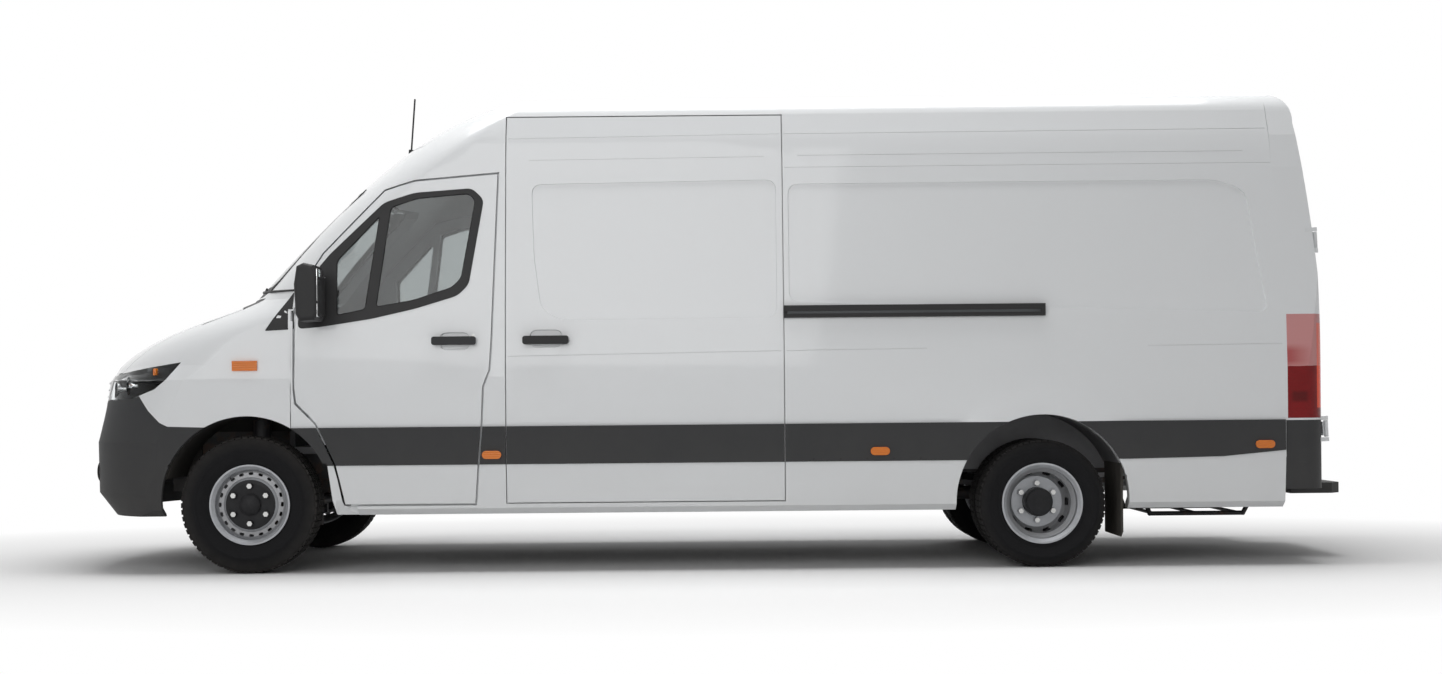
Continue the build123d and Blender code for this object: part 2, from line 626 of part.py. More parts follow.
def front_wheel():
    """Single front wheel: rim, outset disc, hub, cap and brake disc, about its own axis."""
    half = RIM_WIDTH / 2
    seat_inner = RIM_DIAMETER / 2 - 17 - RIM_WALL
    rim = wheel_ring(rim_profile(half))
    out = FRONT_DISC_Y - FRONT_WHEEL_Y
    disc = wheel_ring([
        (0, out + 10), (118, out + 10), (136, out + 6), (150, out - 6), (176, out - 8), (seat_inner + 2, out - 18),
        (seat_inner + 2, out - 30), (174, out - 18), (146, out - 16), (130, out - 5), (112, out), (0, out)])
    disc -= hand_holes(20, 170, 26, 15, out - 40, out + 30)
    wheel = rim + disc
    inner = -(FRONT_WHEEL_Y - KINGPIN_Y) + HUB_CARRIER_HALF + RUNNING_GAP
    wheel += Pos(0, 0, 0) * extrude(Plane.XY.offset(inner) * Circle(HUB_RADIUS), amount=out - inner + 2)
    brake_low = inner + 18 - RUNNING_GAP
    wheel += extrude(Plane.XY.offset(brake_low) * Circle(DISC_BRAKE_RADIUS), amount=22)
    dome_radius = (CAP_RADIUS ** 2 + CAP_DOME_RISE ** 2) / (2 * CAP_DOME_RISE)
    half_angle = math.asin(CAP_RADIUS / dome_radius) / 2
    cap_top = out + 50
    rim_point = (CAP_RADIUS, cap_top - CAP_DOME_RISE)
    dome_mid = (dome_radius * math.sin(half_angle), cap_top - dome_radius * (1 - math.cos(half_angle)))
    outline = Polyline((0, out), (CAP_RADIUS, out), rim_point) + ThreePointArc(rim_point, dome_mid, (0, cap_top))
    cap = revolve(Plane.XZ * make_face(outline + Line((0, cap_top), (0, out))), axis=Axis.Z)
    wheel += cap
    wheel += nuts(NUT_COUNT, BOLT_CIRCLE, 34, out + 8, 22)
    return wheel


def rear_wheel():
    """Twin rear wheel: two rims with dished discs back to back on one hub, about its own axis.

    Its own zero is midway between the rims."""
    half = RIM_WIDTH / 2
    spread = (REAR_OUTER_Y - REAR_INNER_Y) / 2
    seat_inner = RIM_DIAMETER / 2 - 17 - RIM_WALL
    rim = wheel_ring(rim_profile(half))
    disc = wheel_ring([
        (60, 12 - spread), (140, 12 - spread), (158, 30 - spread), (178, 62 - spread), (seat_inner + 2, 78 - spread),
        (seat_inner + 2, 66 - spread), (184, 52 - spread), (166, 20 - spread), (144, -spread), (60, -spread)])
    disc -= hand_holes(10, 162, 44, 18, -spread - 30, -spread + 70)
    one = Pos(0, 0, spread) * (rim + disc)
    wheel = one + mirror(one, about=Plane.XY)
    wheel += extrude(Plane.XY.offset(-spread - 20) * Circle(HUB_FLANGE_RADIUS), amount=spread + 100)
    wheel += extrude(Plane.XY.offset(80) * Circle(HUB_FLANGE_RADIUS - 12), amount=10)
    wheel += nuts(NUT_COUNT, BOLT_CIRCLE, 34, 11, 24)
    return wheel


HUB_CARRIER_HALF = 42.0
STRUT_Y = 680.0
BALL_LOW_Z = 212.0
BALL_HIGH_Z = 540.0
SPRING_RADIUS = 50.0
RACK_HALF_LENGTH = KINGPIN_Y - 155


def knuckle():
    """Left steering knuckle: kingpin column, hub carrier, steering arm and brake caliper."""
    z = FRONT_HUB_Z
    body = rod((0, -KINGPIN_Y, BALL_LOW_Z), (0, -KINGPIN_Y, BALL_HIGH_Z), 24)
    body += cross_rod(0, z, -KINGPIN_Y - HUB_CARRIER_HALF, -KINGPIN_Y + HUB_CARRIER_HALF, 56)
    arm = plan_prism([(-18, -KINGPIN_Y + 10), (18, -KINGPIN_Y - 10), (168, -KINGPIN_Y + 30), (150, -KINGPIN_Y + 62)],
                     z - 50, z - 26)
    body += arm
    disc_y = -KINGPIN_Y - HUB_CARRIER_HALF - 18
    back = -KINGPIN_Y - HUB_CARRIER_HALF + 12
    caliper = box_between(-155, -96, disc_y - 38, back, z - 45, z + 45)
    caliper -= box_between(-DISC_BRAKE_RADIUS - 6, 0, disc_y - 28, disc_y + 6, z - 90, z + 90)
    bridge = box_between(-110, 0, back - 12, back, z - 22, z + 22)
    return body + caliper + bridge


def front_axle():
    """Front cross member, lower arms, struts and steering rack."""
    z = FRONT_HUB_Z
    beam = box_between(-70, 90, -340, 340, 235, 300)
    arms = Part()
    for front in (-1, 1):
        arm = plan_prism([(front * 90 + 10 - 22, -330), (front * 90 + 10 + 22, -330), (20, -KINGPIN_Y + 12), (-20, -KINGPIN_Y + 12)],
                         BALL_LOW_Z - 34, BALL_LOW_Z - 8)
        arms += arm
    arms += box_between(-100, 120, -345, -300, BALL_LOW_Z - 34, 240)
    arms += rod((0, -KINGPIN_Y, BALL_LOW_Z - 34), (0, -KINGPIN_Y, BALL_LOW_Z - RUNNING_GAP), 30)
    strut = rod((0, -STRUT_Y, BALL_HIGH_Z + 30), (0, -STRUT_Y + 50, 860), 28)
    strut += rod((0, -STRUT_Y + 18, 660), (0, -STRUT_Y + 45, 830), SPRING_RADIUS)
    strut += box_between(-26, 26, -KINGPIN_Y - 20, -STRUT_Y + 20, BALL_HIGH_Z + RUNNING_GAP, BALL_HIGH_Z + 32)
    strut = strut & cross_rod(0, 395, -REACH, 0, FRONT_ARCH_RADIUS)
    rack = cross_rod(150, z - 38, -RACK_HALF_LENGTH, RACK_HALF_LENGTH, 26)
    posts = box_between(-60, 80, -RAIL_Y - 20, -RAIL_Y + 20, 290, RAIL_BOTTOM_Z)
    beam += box_between(-60, 80, -RAIL_Y - 30, RAIL_Y + 30, 240, 300)
    rack_feet = box_between(80, 160, -300, -260, 260, 330)
    return beam + rack + both_sides(arms + strut + posts + rack_feet)


def chassis_rails():
    """Two longitudinal rails under the floor."""
    rail = box_between(RAIL_FRONT_X, REAR_X - 70, -RAIL_Y - RAIL_WIDTH / 2, -RAIL_Y + RAIL_WIDTH / 2,
                       RAIL_BOTTOM_Z, FLOOR_Z)
    return both_sides(rail)


CROSS_MEMBER_PLACES = [RAIL_FRONT_X + 40, 1250, 2150, 3050, 3700, 4950, REAR_X - 120]
OUTRIGGER_PLACES = [700, 1404, 2168, 2922, 3600, 5200]
OUTRIGGER_DEPTH = 60.0


def cross_members():
    """Bars between the rails, and outriggers from the rails to the sills."""
    inner = RAIL_Y - RAIL_WIDTH / 2
    outer = RAIL_Y + RAIL_WIDTH / 2
    bars = Part()
    for x in CROSS_MEMBER_PLACES:
        bars += box_between(x - 45, x + 45, -inner, inner, RAIL_BOTTOM_Z + 20, FLOOR_Z)
    for x in OUTRIGGER_PLACES:
        reach = 745 if x < 1000 else HALF_WIDTH - WALL
        bars += both_sides(box_between(x - 25, x + 25, -reach, -outer, FLOOR_Z - OUTRIGGER_DEPTH, FLOOR_Z))
    return bars


def rear_axle():
    """Beam axle with its differential housing and brake drums' back plates."""
    z = REAR_HUB_Z
    inner_end = (REAR_OUTER_Y + REAR_INNER_Y) / 2 - (REAR_OUTER_Y - REAR_INNER_Y) / 2 - 20
    tube = cross_rod(WHEELBASE, z, -inner_end + RUNNING_GAP, inner_end - RUNNING_GAP, 52)
    housing = Pos(WHEELBASE, 0, z) * Sphere(150)
    housing = housing & box_between(WHEELBASE - 140, WHEELBASE + 130, -150, 150, z - 150, z + 150)
    nose = rod((WHEELBASE - 240, 0, z + 10), (WHEELBASE - 100, 0, z + 4), 62)
    pads = box_between(WHEELBASE - 60, WHEELBASE + 60, -RAIL_Y - 45, -RAIL_Y + 45, z, z + 62)
    return tube + housing + nose + both_sides(pads)


def leaf_springs():
    """Leaf packs between the rail hangers and the rear axle."""
    z = REAR_HUB_Z + 62
    half = 660.0
    rise = 20.0
    spring = Part()
    for index, share in enumerate((1.0, 0.72, 0.45)):
        reach = half * share
        low = z + 14 * (len((1.0, 0.72, 0.45)) - 1 - index)
        lift = rise * share * share
        arc_low = ThreePointArc((-reach, low + lift), (0, low), (reach, low + lift))
        arc_high = ThreePointArc((reach, low + lift + 14), (0, low + 14), (-reach, low + lift + 14))
        face = make_face(arc_low + Line((reach, low + lift), (reach, low + lift + 14)) + arc_high
                         + Line((-reach, low + lift + 14), (-reach, low + lift)))
        spring += extrude(Plane.XZ * face, amount=35, both=True)
    top = z + rise + 28
    for end in (-1, 1):
        eye = cross_rod(end * (half + 12), top + 7, -38, 38, 24)
        hanger = box_between(end * (half + 12) - 26, end * (half + 12) + 26, -34, 34, top + 7, RAIL_BOTTOM_Z)
        spring += eye + hanger
    return both_sides(Pos(WHEELBASE, -RAIL_Y, 0) * spring)


def engine():
    """Engine and gearbox, one heavy block at their real place."""
    block = box_between(-620, 60, -260, 260, 420, 1000)
    gearbox = box_between(60, 620, -150, 150, 400, FLOOR_Z)
    return block + gearbox


def drive_shaft():
    """Propeller shaft from the gearbox to the rear axle."""
    return rod((620, 0, 480), (WHEELBASE - 240, 0, REAR_HUB_Z + 10), 38)


def exhaust():
    """Exhaust pipe and silencer along the right rail, hung from the cross members."""
    z = RAIL_BOTTOM_Z - 80
    pipe = rod((-300, 330, z), (3600, 330, z), 28)
    silencer = rod((1600, 330, z), (2220, 330, z), 95)
    tail = rod((3560, 330, z), (3560, 885, z - 30), 28)
    hangers = box_between(1240, 1260, 320, 340, z, RAIL_BOTTOM_Z + 20) + box_between(3040, 3060, 320, 340, z, RAIL_BOTTOM_Z + 20)
    return pipe + silencer + tail + hangers


def fuel_tank():
    """Tank hung from the outriggers beside the left rail."""
    front, rear = OUTRIGGER_PLACES[1:3]
    tank = box_between(front, rear, -880, -480, 340, FLOOR_Z - OUTRIGGER_DEPTH)
    return fillet(tank.edges().filter_by(Axis.X).sort_by(Axis.Z)[:2], 60)


def floor():
    """Floor plate with the rear wheelhouses and the cab's step wells."""
    room = envelope(WALL)
    low, high = FLOOR_Z, FLOOR_Z + FLOOR_THICKNESS
    plate = box_between(130, REAR_X - 80, -REACH, REACH, low, high) & room
    plate -= both_sides(box_between(0, SEAM_X, -REACH, -760, low - 10, high + 10))
    front_house = both_sides(cross_rod(0, 395, -REACH, -545, FRONT_ARCH_RADIUS + 10))
    plate -= front_house
    step = box_between(560, 1230, -REACH, -745, 365, 385) & room
    riser = box_between(560, 1230, -760, -745, 365, high)
    ends = box_between(545, 560, -REACH, -745, 365, high) + box_between(1230, SEAM_X, -REACH, -745, 580, high)
    ends = ends & room
    ends -= both_sides(side_prism_face(grow(FRONT_DOOR, DOOR_GAP), -REACH, -925))
    plate += both_sides(step + riser + ends)
    house = cross_rod(WHEELBASE, 362, -REACH, -500, REAR_ARCH_RADIUS + 18) & room
    hollow = cross_rod(WHEELBASE, 362, -REACH, -518, REAR_ARCH_RADIUS)
    keep = box_between(3000, 5500, -REACH, -400, 520, 1000)
    plate -= both_sides(hollow & keep)
    plate += both_sides((house - hollow) & keep)
    return plate


DECK_FRONT_X = SEAM_X + 46
DECK_REAR_X = REAR_X - 190
DECK_HALF_WIDTH = 800.0
DECK_THICKNESS = 12.0
DECK_WHEEL_GAP = 14.0


def load_deck():
    """Boarded deck on the load floor, cut out round the wheelhouses."""
    low = FLOOR_Z + FLOOR_THICKNESS
    deck = box_between(DECK_FRONT_X, DECK_REAR_X, -DECK_HALF_WIDTH, DECK_HALF_WIDTH, low, low + DECK_THICKNESS)
    reach = REAR_ARCH_RADIUS + DECK_WHEEL_GAP
    house = box_between(WHEELBASE - reach, WHEELBASE + reach, -REACH, -500 + DECK_WHEEL_GAP, low - 1, low + 60)
    return deck - both_sides(house)


STEERED_TYRE_REACH = 400.0


def arch_liners():
    """Front wheel liners between the fenders and the engine bay."""
    room = envelope(WALL) & box_between(-600, 600, -REACH, REACH, 0, 1200)
    shell = cross_rod(0, 395, -REACH, -560, FRONT_ARCH_RADIUS + 10) - cross_rod(0, 395, -REACH, -570, FRONT_ARCH_RADIUS)
    shell = shell & box_between(-600, 600, -REACH, -545, 520, 1200) & room
    steered_tyre = rod((0, -KINGPIN_Y, 500), (0, -KINGPIN_Y, FRONT_TYRE_DIAMETER + 20), STEERED_TYRE_REACH)
    steered_tyre = steered_tyre & box_between(-600, 600, -571, -500, 400, 1200)
    return both_sides(shell - steered_tyre)


def firewall():
    """Bulkhead between the engine bay and the cab."""
    room = envelope(WALL)
    wall = box_between(130, 160, -REACH, REACH, FLOOR_Z + FLOOR_THICKNESS, 1425) & room
    wall -= both_sides(cross_rod(0, 395, -REACH, -545, FRONT_ARCH_RADIUS + 10))
    return wall


DASH_HALF_WIDTH = 860.0


def dashboard():
    """Dashboard across the cab, with the binnacle in front of the driver on the right."""
    board = side_prism([(160, 900), (160, 1420), (260, 1425), (430, 1390), (560, 1310), (560, 1200), (470, 1120),
                        (430, 900)], -DASH_HALF_WIDTH, DASH_HALF_WIDTH)
    hump = side_prism([(300, 1380), (330, 1440), (470, 1450), (560, 1370), (560, 1290), (300, 1290)], 250, 600)
    return board + hump


def steering_wheel():
    """Steering wheel and column of a right-hand-drive cab."""
    tilt = 45
    place = Pos(690, 425, 1300) * Rot(0, tilt, 0)
    rim = Part() + Solid.make_torus(192, 15)
    hub = Cylinder(55, 40)
    spokes = Part()
    for angle in (0, 120, 240):
        spokes += Rot(0, 0, angle) * box_between(40, 186, -16, 16, -8, 8)
    column = rod((0, 0, -240), (0, 0, 0), 30)
    wheel = place * (rim + hub + spokes + column)
    return wheel - dashboard_block()


@lru_cache(maxsize=None)
def dashboard_block():
    return dashboard()


SEAT_ROWS = [
    # middle y, width
    (425.0, 480.0),
    (-330.0, 880.0),
]


def seats():
    """Driver's seat and double passenger seat: cushion, leaning back and headrests."""
    result = Part()
    for middle, width in SEAT_ROWS:
        low, high = middle - width / 2, middle + width / 2
        cushion = side_prism([(800, 960), (790, 1060), (830, 1090), (1290, 1070), (1300, 960)], low, high, 18)
        back = side_prism([(1258, 1050), (1345, 1690), (1400, 1715), (1445, 1690), (1400, 1050)], low + 10, high - 10, 18)
        result += cushion + back
        heads = 1 if width < 600 else 2
        for index in range(heads):
            y = middle + (index - (heads - 1) / 2) * width / heads
            head = side_prism([(1370, 1740), (1385, 1900), (1430, 1915), (1465, 1895), (1455, 1740)], y - 120, y + 120, 16)
            stem = box_between(1405, 1425, y - 60, y - 45, 1690, 1750) + box_between(1405, 1425, y + 45, y + 60, 1690, 1750)
            result += head + stem
    return result


def seat_bases():
    """Boxes under the seats."""
    result = Part()
    for middle, width in SEAT_ROWS:
        result += box_between(850, 1270, middle - width / 2 + 40, middle + width / 2 - 40, FLOOR_Z + FLOOR_THICKNESS, 960)
    return result


def mirror_left():
    """Door mirror: arm and rounded housing."""
    outline = [(330, 1400), (322, 1560), (337, 1655), (375, 1673), (428, 1660), (447, 1600), (447, 1400), (430, 1368),
               (350, 1363)]
    head = side_prism(outline, -1245, -1045)
    head = fillet(head.edges().filter_by(GeomType.LINE).group_by(Axis.Y)[0], 22)
    arm = side_prism([(335, 1378), (335, 1425), (415, 1425), (415, 1378)], -1060, -960)
    return (head + arm) - PARTS["door_left"]


def door_trim_left():
    """Cladding strip and pull handle of the left front door."""
    strip = cladding_strip() & side_prism_face(grow(FRONT_DOOR, 0), -REACH, -900)
    return strip + pull_handle(1015, 1255)


def pull_handle(x_low, x_high):
    """Flat pull handle on two feet."""
    z_low, z_high = 1236, 1282
    bar = box_between(x_low, x_high, -1032, -1014, z_low, z_high)
    bar = fillet(bar.edges().filter_by(Axis.Y), 14)
    feet = box_between(x_low + 8, x_low + 44, -1016, -960, z_low + 8, z_high - 8)
    feet += box_between(x_high - 44, x_high - 8, -1016, -960, z_low + 8, z_high - 8)
    return (bar + feet) - envelope(0)


def cladding_strip():
    """Dark strip along the whole left side, cut by both arches."""
    band = side_prism([(-300, STRIPE_LOW_Z), (-300, STRIPE_HIGH_Z), (5640, STRIPE_HIGH_Z), (5640, 628), (5300, 596),
                       (4800, STRIPE_LOW_Z)], -HALF_WIDTH - STRIPE_PROUD, -HALF_WIDTH)
    return band - front_arch_cut() - rear_arch_cut()


def side_cladding():
    """Fixed strips: fender, pillar, sliding door and load body on the left, and the same on the right."""
    strip = cladding_strip() & box_between(0, 6000, -REACH, 0, 0, 1000)
    strip -= side_prism_face(grow(FRONT_DOOR, DOOR_GAP), -REACH, -900)
    left = strip - side_prism_face(grow(SLIDING_DOOR, SLIDE_GAP), -REACH, -900)
    left += strip & side_prism_face(grow(SLIDING_DOOR, 0), -REACH, -900)
    return left + mirrored(strip)


MARKER_PLACES = [
    # middle x, middle z
    (1335.0, 639.0),
    (3440.0, 641.0),
    (5526.0, 660.0),
]


def side_lamps():
    """Amber side markers on the strips and repeaters on the fenders."""
    lamps = Part()
    for x, z in MARKER_PLACES:
        marker = extrude(Plane.XZ.offset(HALF_WIDTH + STRIPE_PROUD) * Pos(x, z) * SlotOverall(104, 44), amount=10)
        lamps += marker
    repeater = box_between(-70, 65, -HALF_WIDTH - 10, -900, 1106, 1160)
    lamps += repeater - envelope(0)
    return both_sides(lamps)


def slide_rail():
    """Rail of the sliding door along the left side, and its handle."""
    rail = box_between(2925, 4345, -1004, -940, 1368, 1435)
    rail -= box_between(2915, 4320, -1040, -990, 1388, 1404)
    return (rail + pull_handle(1508, 1758)) - envelope(0)


def mudflaps():
    """Rear mudflaps behind the twin wheels."""
    flap = box_between(WHEELBASE + 425, WHEELBASE + 437, -975, -560, 130, FLOOR_Z)
    return both_sides(flap & cross_rod(WHEELBASE, 362, -REACH, 0, REAR_ARCH_RADIUS))


CRADLE_Y = 330.0
CRADLE_LOW_Z = 245.0
CRADLE_ROD = 13.0


def spare_carrier():
    """Empty spare wheel cradle under the tail: two bent rods and three bars."""
    y, low, high = CRADLE_Y, CRADLE_LOW_Z, RAIL_BOTTOM_Z + 30
    bends = [(4950, high), (5060, low), (5600, low), (5760, high)]
    side = Part()
    for (x_from, z_from), (x_to, z_to) in zip(bends, bends[1:]):
        side += rod((x_from, -y, z_from), (x_to, -y, z_to), CRADLE_ROD)
    for x, z in bends[1:3]:
        side += Pos(x, -y, z) * Sphere(CRADLE_ROD + 1)
    bars = Part()
    for x in (5085, 5330, 5575):
        bars += cross_rod(x, low, -y, y, CRADLE_ROD - 3)
    return both_sides(side) + bars - cross_members()


def antenna():
    """Whip antenna on the roof's front."""
    return rod((790, -300, 2350), (816, -300, 2690), 5) + rod((786, -300, 2330), (792, -300, 2395), 14)


def build():
    """Every node of the van."""
    build_front()
    build_rear()
    build_sides()
    front = on_axle(front_wheel(), 0, -FRONT_WHEEL_Y, FRONT_HUB_Z)
    front_tyre = on_axle(tyre_solid(FRONT_TYRE_DIAMETER, FRONT_TYRE_WIDTH), 0, -FRONT_WHEEL_Y, FRONT_HUB_Z)
    middle = (REAR_OUTER_Y + REAR_INNER_Y) / 2
    rear = on_axle(rear_wheel(), WHEELBASE, -middle, REAR_HUB_Z)
    twin = Part()
    for y in (REAR_OUTER_Y, REAR_INNER_Y):
        twin += on_axle(tyre_solid(REAR_TYRE_DIAMETER, REAR_TYRE_WIDTH), WHEELBASE, -y, REAR_HUB_Z)
    pairs = [
        ("front_wheel", front), ("front_tyre", front_tyre), ("rear_wheel", rear), ("rear_tyres", twin),
        ("knuckle", knuckle()), ("mirror", mirror_left()), ("door_trim", door_trim_left()),
    ]
    for name, shape in pairs:
        add(name + "_left", shape)
        add(name + "_right", mirrored(shape))
    add("front_axle", front_axle())
    add("chassis_rails", chassis_rails())
    add("floor", floor())
    add("load_deck", load_deck())
    add("cross_members", cross_members() - PARTS["floor"])
    add("rear_axle", rear_axle())
    add("leaf_springs", leaf_springs())
    add("engine", engine())
    add("drive_shaft", drive_shaft() - engine() - PARTS["rear_axle"])
    add("exhaust", exhaust())
    add("fuel_tank", fuel_tank())
    add("arch_liners", arch_liners())
    add("firewall", firewall())
    add("dashboard", dashboard_block())
    add("steering_wheel", steering_wheel())
    add("seats", seats())
    add("seat_bases", seat_bases())
    add("side_cladding", side_cladding())
    add("side_lamps", side_lamps())
    add("slide_rail", slide_rail())
    add("mudflaps", mudflaps())
    add("spare_carrier", spare_carrier())
    add("antenna", antenna() - PARTS["roof"])


def export():
    os.makedirs("parts", exist_ok=True)
    for name, shape in PARTS.items():
        export_step(Pos(-FRAME_CENTRE, 0, 0) * shape, f"parts/{name}.step")


if __name__ == "__main__":
    build()
    export()
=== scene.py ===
import logging
import math
from collections.abc import Iterable, Sequence
from dataclasses import dataclass, field
from enum import Enum

import bmesh
import bpy
from mathutils import Matrix, Vector
from mathutils.bvhtree import BVHTree


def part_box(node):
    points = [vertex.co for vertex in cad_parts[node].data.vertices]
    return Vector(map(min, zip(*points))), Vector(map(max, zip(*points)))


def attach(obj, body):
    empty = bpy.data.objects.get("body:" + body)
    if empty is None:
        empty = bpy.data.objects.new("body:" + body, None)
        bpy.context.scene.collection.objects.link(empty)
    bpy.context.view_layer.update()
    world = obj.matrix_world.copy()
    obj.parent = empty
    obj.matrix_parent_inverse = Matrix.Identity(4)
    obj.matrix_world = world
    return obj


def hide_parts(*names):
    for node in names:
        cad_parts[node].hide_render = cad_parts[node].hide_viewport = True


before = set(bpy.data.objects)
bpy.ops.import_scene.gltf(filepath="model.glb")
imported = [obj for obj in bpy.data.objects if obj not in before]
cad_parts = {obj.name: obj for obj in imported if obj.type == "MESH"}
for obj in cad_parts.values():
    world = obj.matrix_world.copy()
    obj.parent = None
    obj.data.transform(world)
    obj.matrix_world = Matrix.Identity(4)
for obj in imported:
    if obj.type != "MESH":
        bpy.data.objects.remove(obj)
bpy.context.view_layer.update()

log = logging.getLogger("van")

Point = tuple[float, float, float]
Outline = list[tuple[float, float]]
Places = tuple[tuple[float, float], ...]
Colour = tuple[float, float, float]

# Lengths below are metres. Places along the van are given from the front axle.
FRONT_AXLE_X = -2.554
WHEELBASE = 4.325
REAR_AXLE_X = FRONT_AXLE_X + WHEELBASE
HALF_WIDTH = 1.0
FRONT_HUB_Z = 0.375
REAR_HUB_Z = 0.3475
LEFT, RIGHT = -1, 1

# Where rays start: ahead of the van, behind it, beside it and between the seats.
AHEAD_X = -4.2
BEHIND_X = 5.0
BESIDE_Y = 1.6
SEATS_X = -1.2


class Body(str, Enum):
    """Bodies of the frame that pieces ride on."""

    SHELL = "body"
    DOOR_LEFT = "door_left"
    DOOR_RIGHT = "door_right"
    REAR_LEFT = "rear_door_left"
    REAR_RIGHT = "rear_door_right"
    WHEEL_FL = "front_wheel_left"
    WHEEL_FR = "front_wheel_right"
    WHEEL_RL = "rear_wheel_left"
    WHEEL_RR = "rear_wheel_right"


class Wear(Enum):
    """How road dirt lies on a finish."""

    CLEAN = 0.0
    LIGHT = 0.25
    ROAD = 0.6


class Sock:
    """A shader socket that takes part in Python expressions."""

    def __init__(self, tree: "ShaderTree", socket: bpy.types.NodeSocket) -> None:
        """Hold a socket and the material tree it is in."""
        self.tree = tree
        self.socket = socket

    def _math(self, operation: str, *values: object) -> "Sock":
        """Result of a Math node."""
        node = self.tree.node("ShaderNodeMath", {"operation": operation}, dict(enumerate(values)))
        return Sock(self.tree, node.outputs[0])

    def __add__(self, other: object) -> "Sock":
        """Sum."""
        return self._math("ADD", self, other)

    __radd__ = __add__

    def __mul__(self, other: object) -> "Sock":
        """Product."""
        return self._math("MULTIPLY", self, other)

    __rmul__ = __mul__

    def __sub__(self, other: object) -> "Sock":
        """Difference."""
        return self._math("SUBTRACT", self, other)

    def __rsub__(self, other: object) -> "Sock":
        """Difference from a number."""
        return self._math("SUBTRACT", other, self)

    def __truediv__(self, other: object) -> "Sock":
        """Quotient."""
        return self._math("DIVIDE", self, other)

    def __rtruediv__(self, other: object) -> "Sock":
        """Quotient of a number."""
        return self._math("DIVIDE", other, self)

    def __lt__(self, other: object) -> "Sock":
        """1 where it is less, else 0."""
        return self._math("LESS_THAN", self, other)

    def __gt__(self, other: object) -> "Sock":
        """1 where it is more, else 0."""
        return self._math("GREATER_THAN", self, other)

    def root(self) -> "Sock":
        """Square root."""
        return self._math("SQRT", self)

    def sine(self) -> "Sock":
        """Sine of an angle in radians."""
        return self._math("SINE", self)

    def clamped(self) -> "Sock":
        """The value held between 0 and 1."""
        return self._math("MINIMUM", self._math("MAXIMUM", self, 0.0), 1.0)

    def band(self, low: float, high: float, soft: float) -> "Sock":
        """1 between low and high, fading over soft on both sides.

        Args:
            low: start of the band.
            high: end of the band.
            soft: length of the fade.

        Returns:
            The band's mask.
        """
        rise = ((self - (low - soft)) / soft).clamped()
        fall = (((high + soft) - self) / soft).clamped()
        return rise * fall


def add_node(tree: bpy.types.NodeTree, kind: str, settings: dict[str, object],
             inputs: dict[object, object]) -> bpy.types.Node:
    """Add a node to a tree.

    Args:
        tree: the node tree.
        kind: the node's type.
        settings: its properties.
        inputs: values or sockets by input name or number.

    Returns:
        The new node.
    """
    node = tree.nodes.new(kind)
    for key, value in settings.items():
        setattr(node, key, value)
    for key, value in inputs.items():
        source = value.socket if isinstance(value, Sock) else value
        if isinstance(source, bpy.types.NodeSocket):
            tree.links.new(source, node.inputs[key])
        else:
            node.inputs[key].default_value = source
    return node


class ShaderTree:
    """Node tree of one material, with its place coordinates ready."""

    def __init__(self, name: str) -> None:
        """Start a material with an empty tree.

        Args:
            name: the material's name.
        """
        self.material = bpy.data.materials.new(name)
        self.material.use_nodes = True
        self.material.node_tree.nodes.clear()
        self.place = Sock(self, self.node("ShaderNodeTexCoord", {}, {}).outputs["Object"])
        split = self.node("ShaderNodeSeparateXYZ", {}, {0: self.place})
        self.x, self.y, self.z = (Sock(self, split.outputs[i]) for i in range(3))

    def node(self, kind: str, settings: dict[str, object], inputs: dict[object, object]) -> bpy.types.Node:
        """Add a node with its properties, values and links."""
        return add_node(self.material.node_tree, kind, settings, inputs)

    def noise(self, scale: float, detail: float = 3.0, rough: float = 0.5) -> Sock:
        """Noise of the object's place, from 0 to 1."""
        values = {"Vector": self.place, "Scale": scale, "Detail": detail, "Roughness": rough}
        return Sock(self, self.node("ShaderNodeTexNoise", {}, values).outputs["Fac"])

    def cells(self, scale: float) -> Sock:
        """Distance within small cells, for grain and cast skin."""
        node = self.node("ShaderNodeTexVoronoi", {}, {"Vector": self.place, "Scale": scale})
        return Sock(self, node.outputs["Distance"])

    def radius(self, hub: Point) -> Sock:
        """Distance from a line across the van through the hub."""
        dx, dz = self.x - hub[0], self.z - hub[2]
        return ((dx * dx) + (dz * dz)).root()

    def blend(self, factor: object, first: object, second: object) -> Sock:
        """Colour between two colours."""
        node = self.node("ShaderNodeMix", {"data_type": "RGBA"}, {0: factor, 6: first, 7: second})
        return Sock(self, node.outputs[2])

    def bump(self, height: Sock, distance: float, strength: float = 1.0) -> Sock:
        """Normal from a height field."""
        node = self.node("ShaderNodeBump", {}, {"Height": height, "Distance": distance, "Strength": strength})
        return Sock(self, node.outputs["Normal"])

    def finish(self, **sockets: object) -> bpy.types.Material:
        """Close the tree with a Principled shader.

        Args:
            sockets: Principled inputs, with underscores for spaces.

        Returns:
            The material.
        """
        values = {name.replace("_", " "): value for name, value in sockets.items()}
        shader = self.node("ShaderNodeBsdfPrincipled", {}, values)
        self.node("ShaderNodeOutputMaterial", {}, {0: shader.outputs[0]})
        return self.material


def rgba(colour: Colour) -> tuple[float, float, float, float]:
    """A colour with full alpha."""
    return (*colour, 1.0)


def shade(colour: Colour, factor: float) -> tuple[float, float, float, float]:
    """A colour made lighter or darker."""
    return rgba(tuple(min(1.0, c * factor) for c in colour))


@dataclass(frozen=True)
class Finish:
    """A finish and the record's slot that it belongs to."""

    name: str
    slot: str
    colour: Colour

    def build(self) -> bpy.types.Material:
        """Make the material."""
        raise NotImplementedError

    def material(self) -> bpy.types.Material:
        """The material, made once."""
        found = bpy.data.materials.get(self.name)
        return found if found else self.build()


ROAD_DUST: Colour = (0.30, 0.27, 0.23)


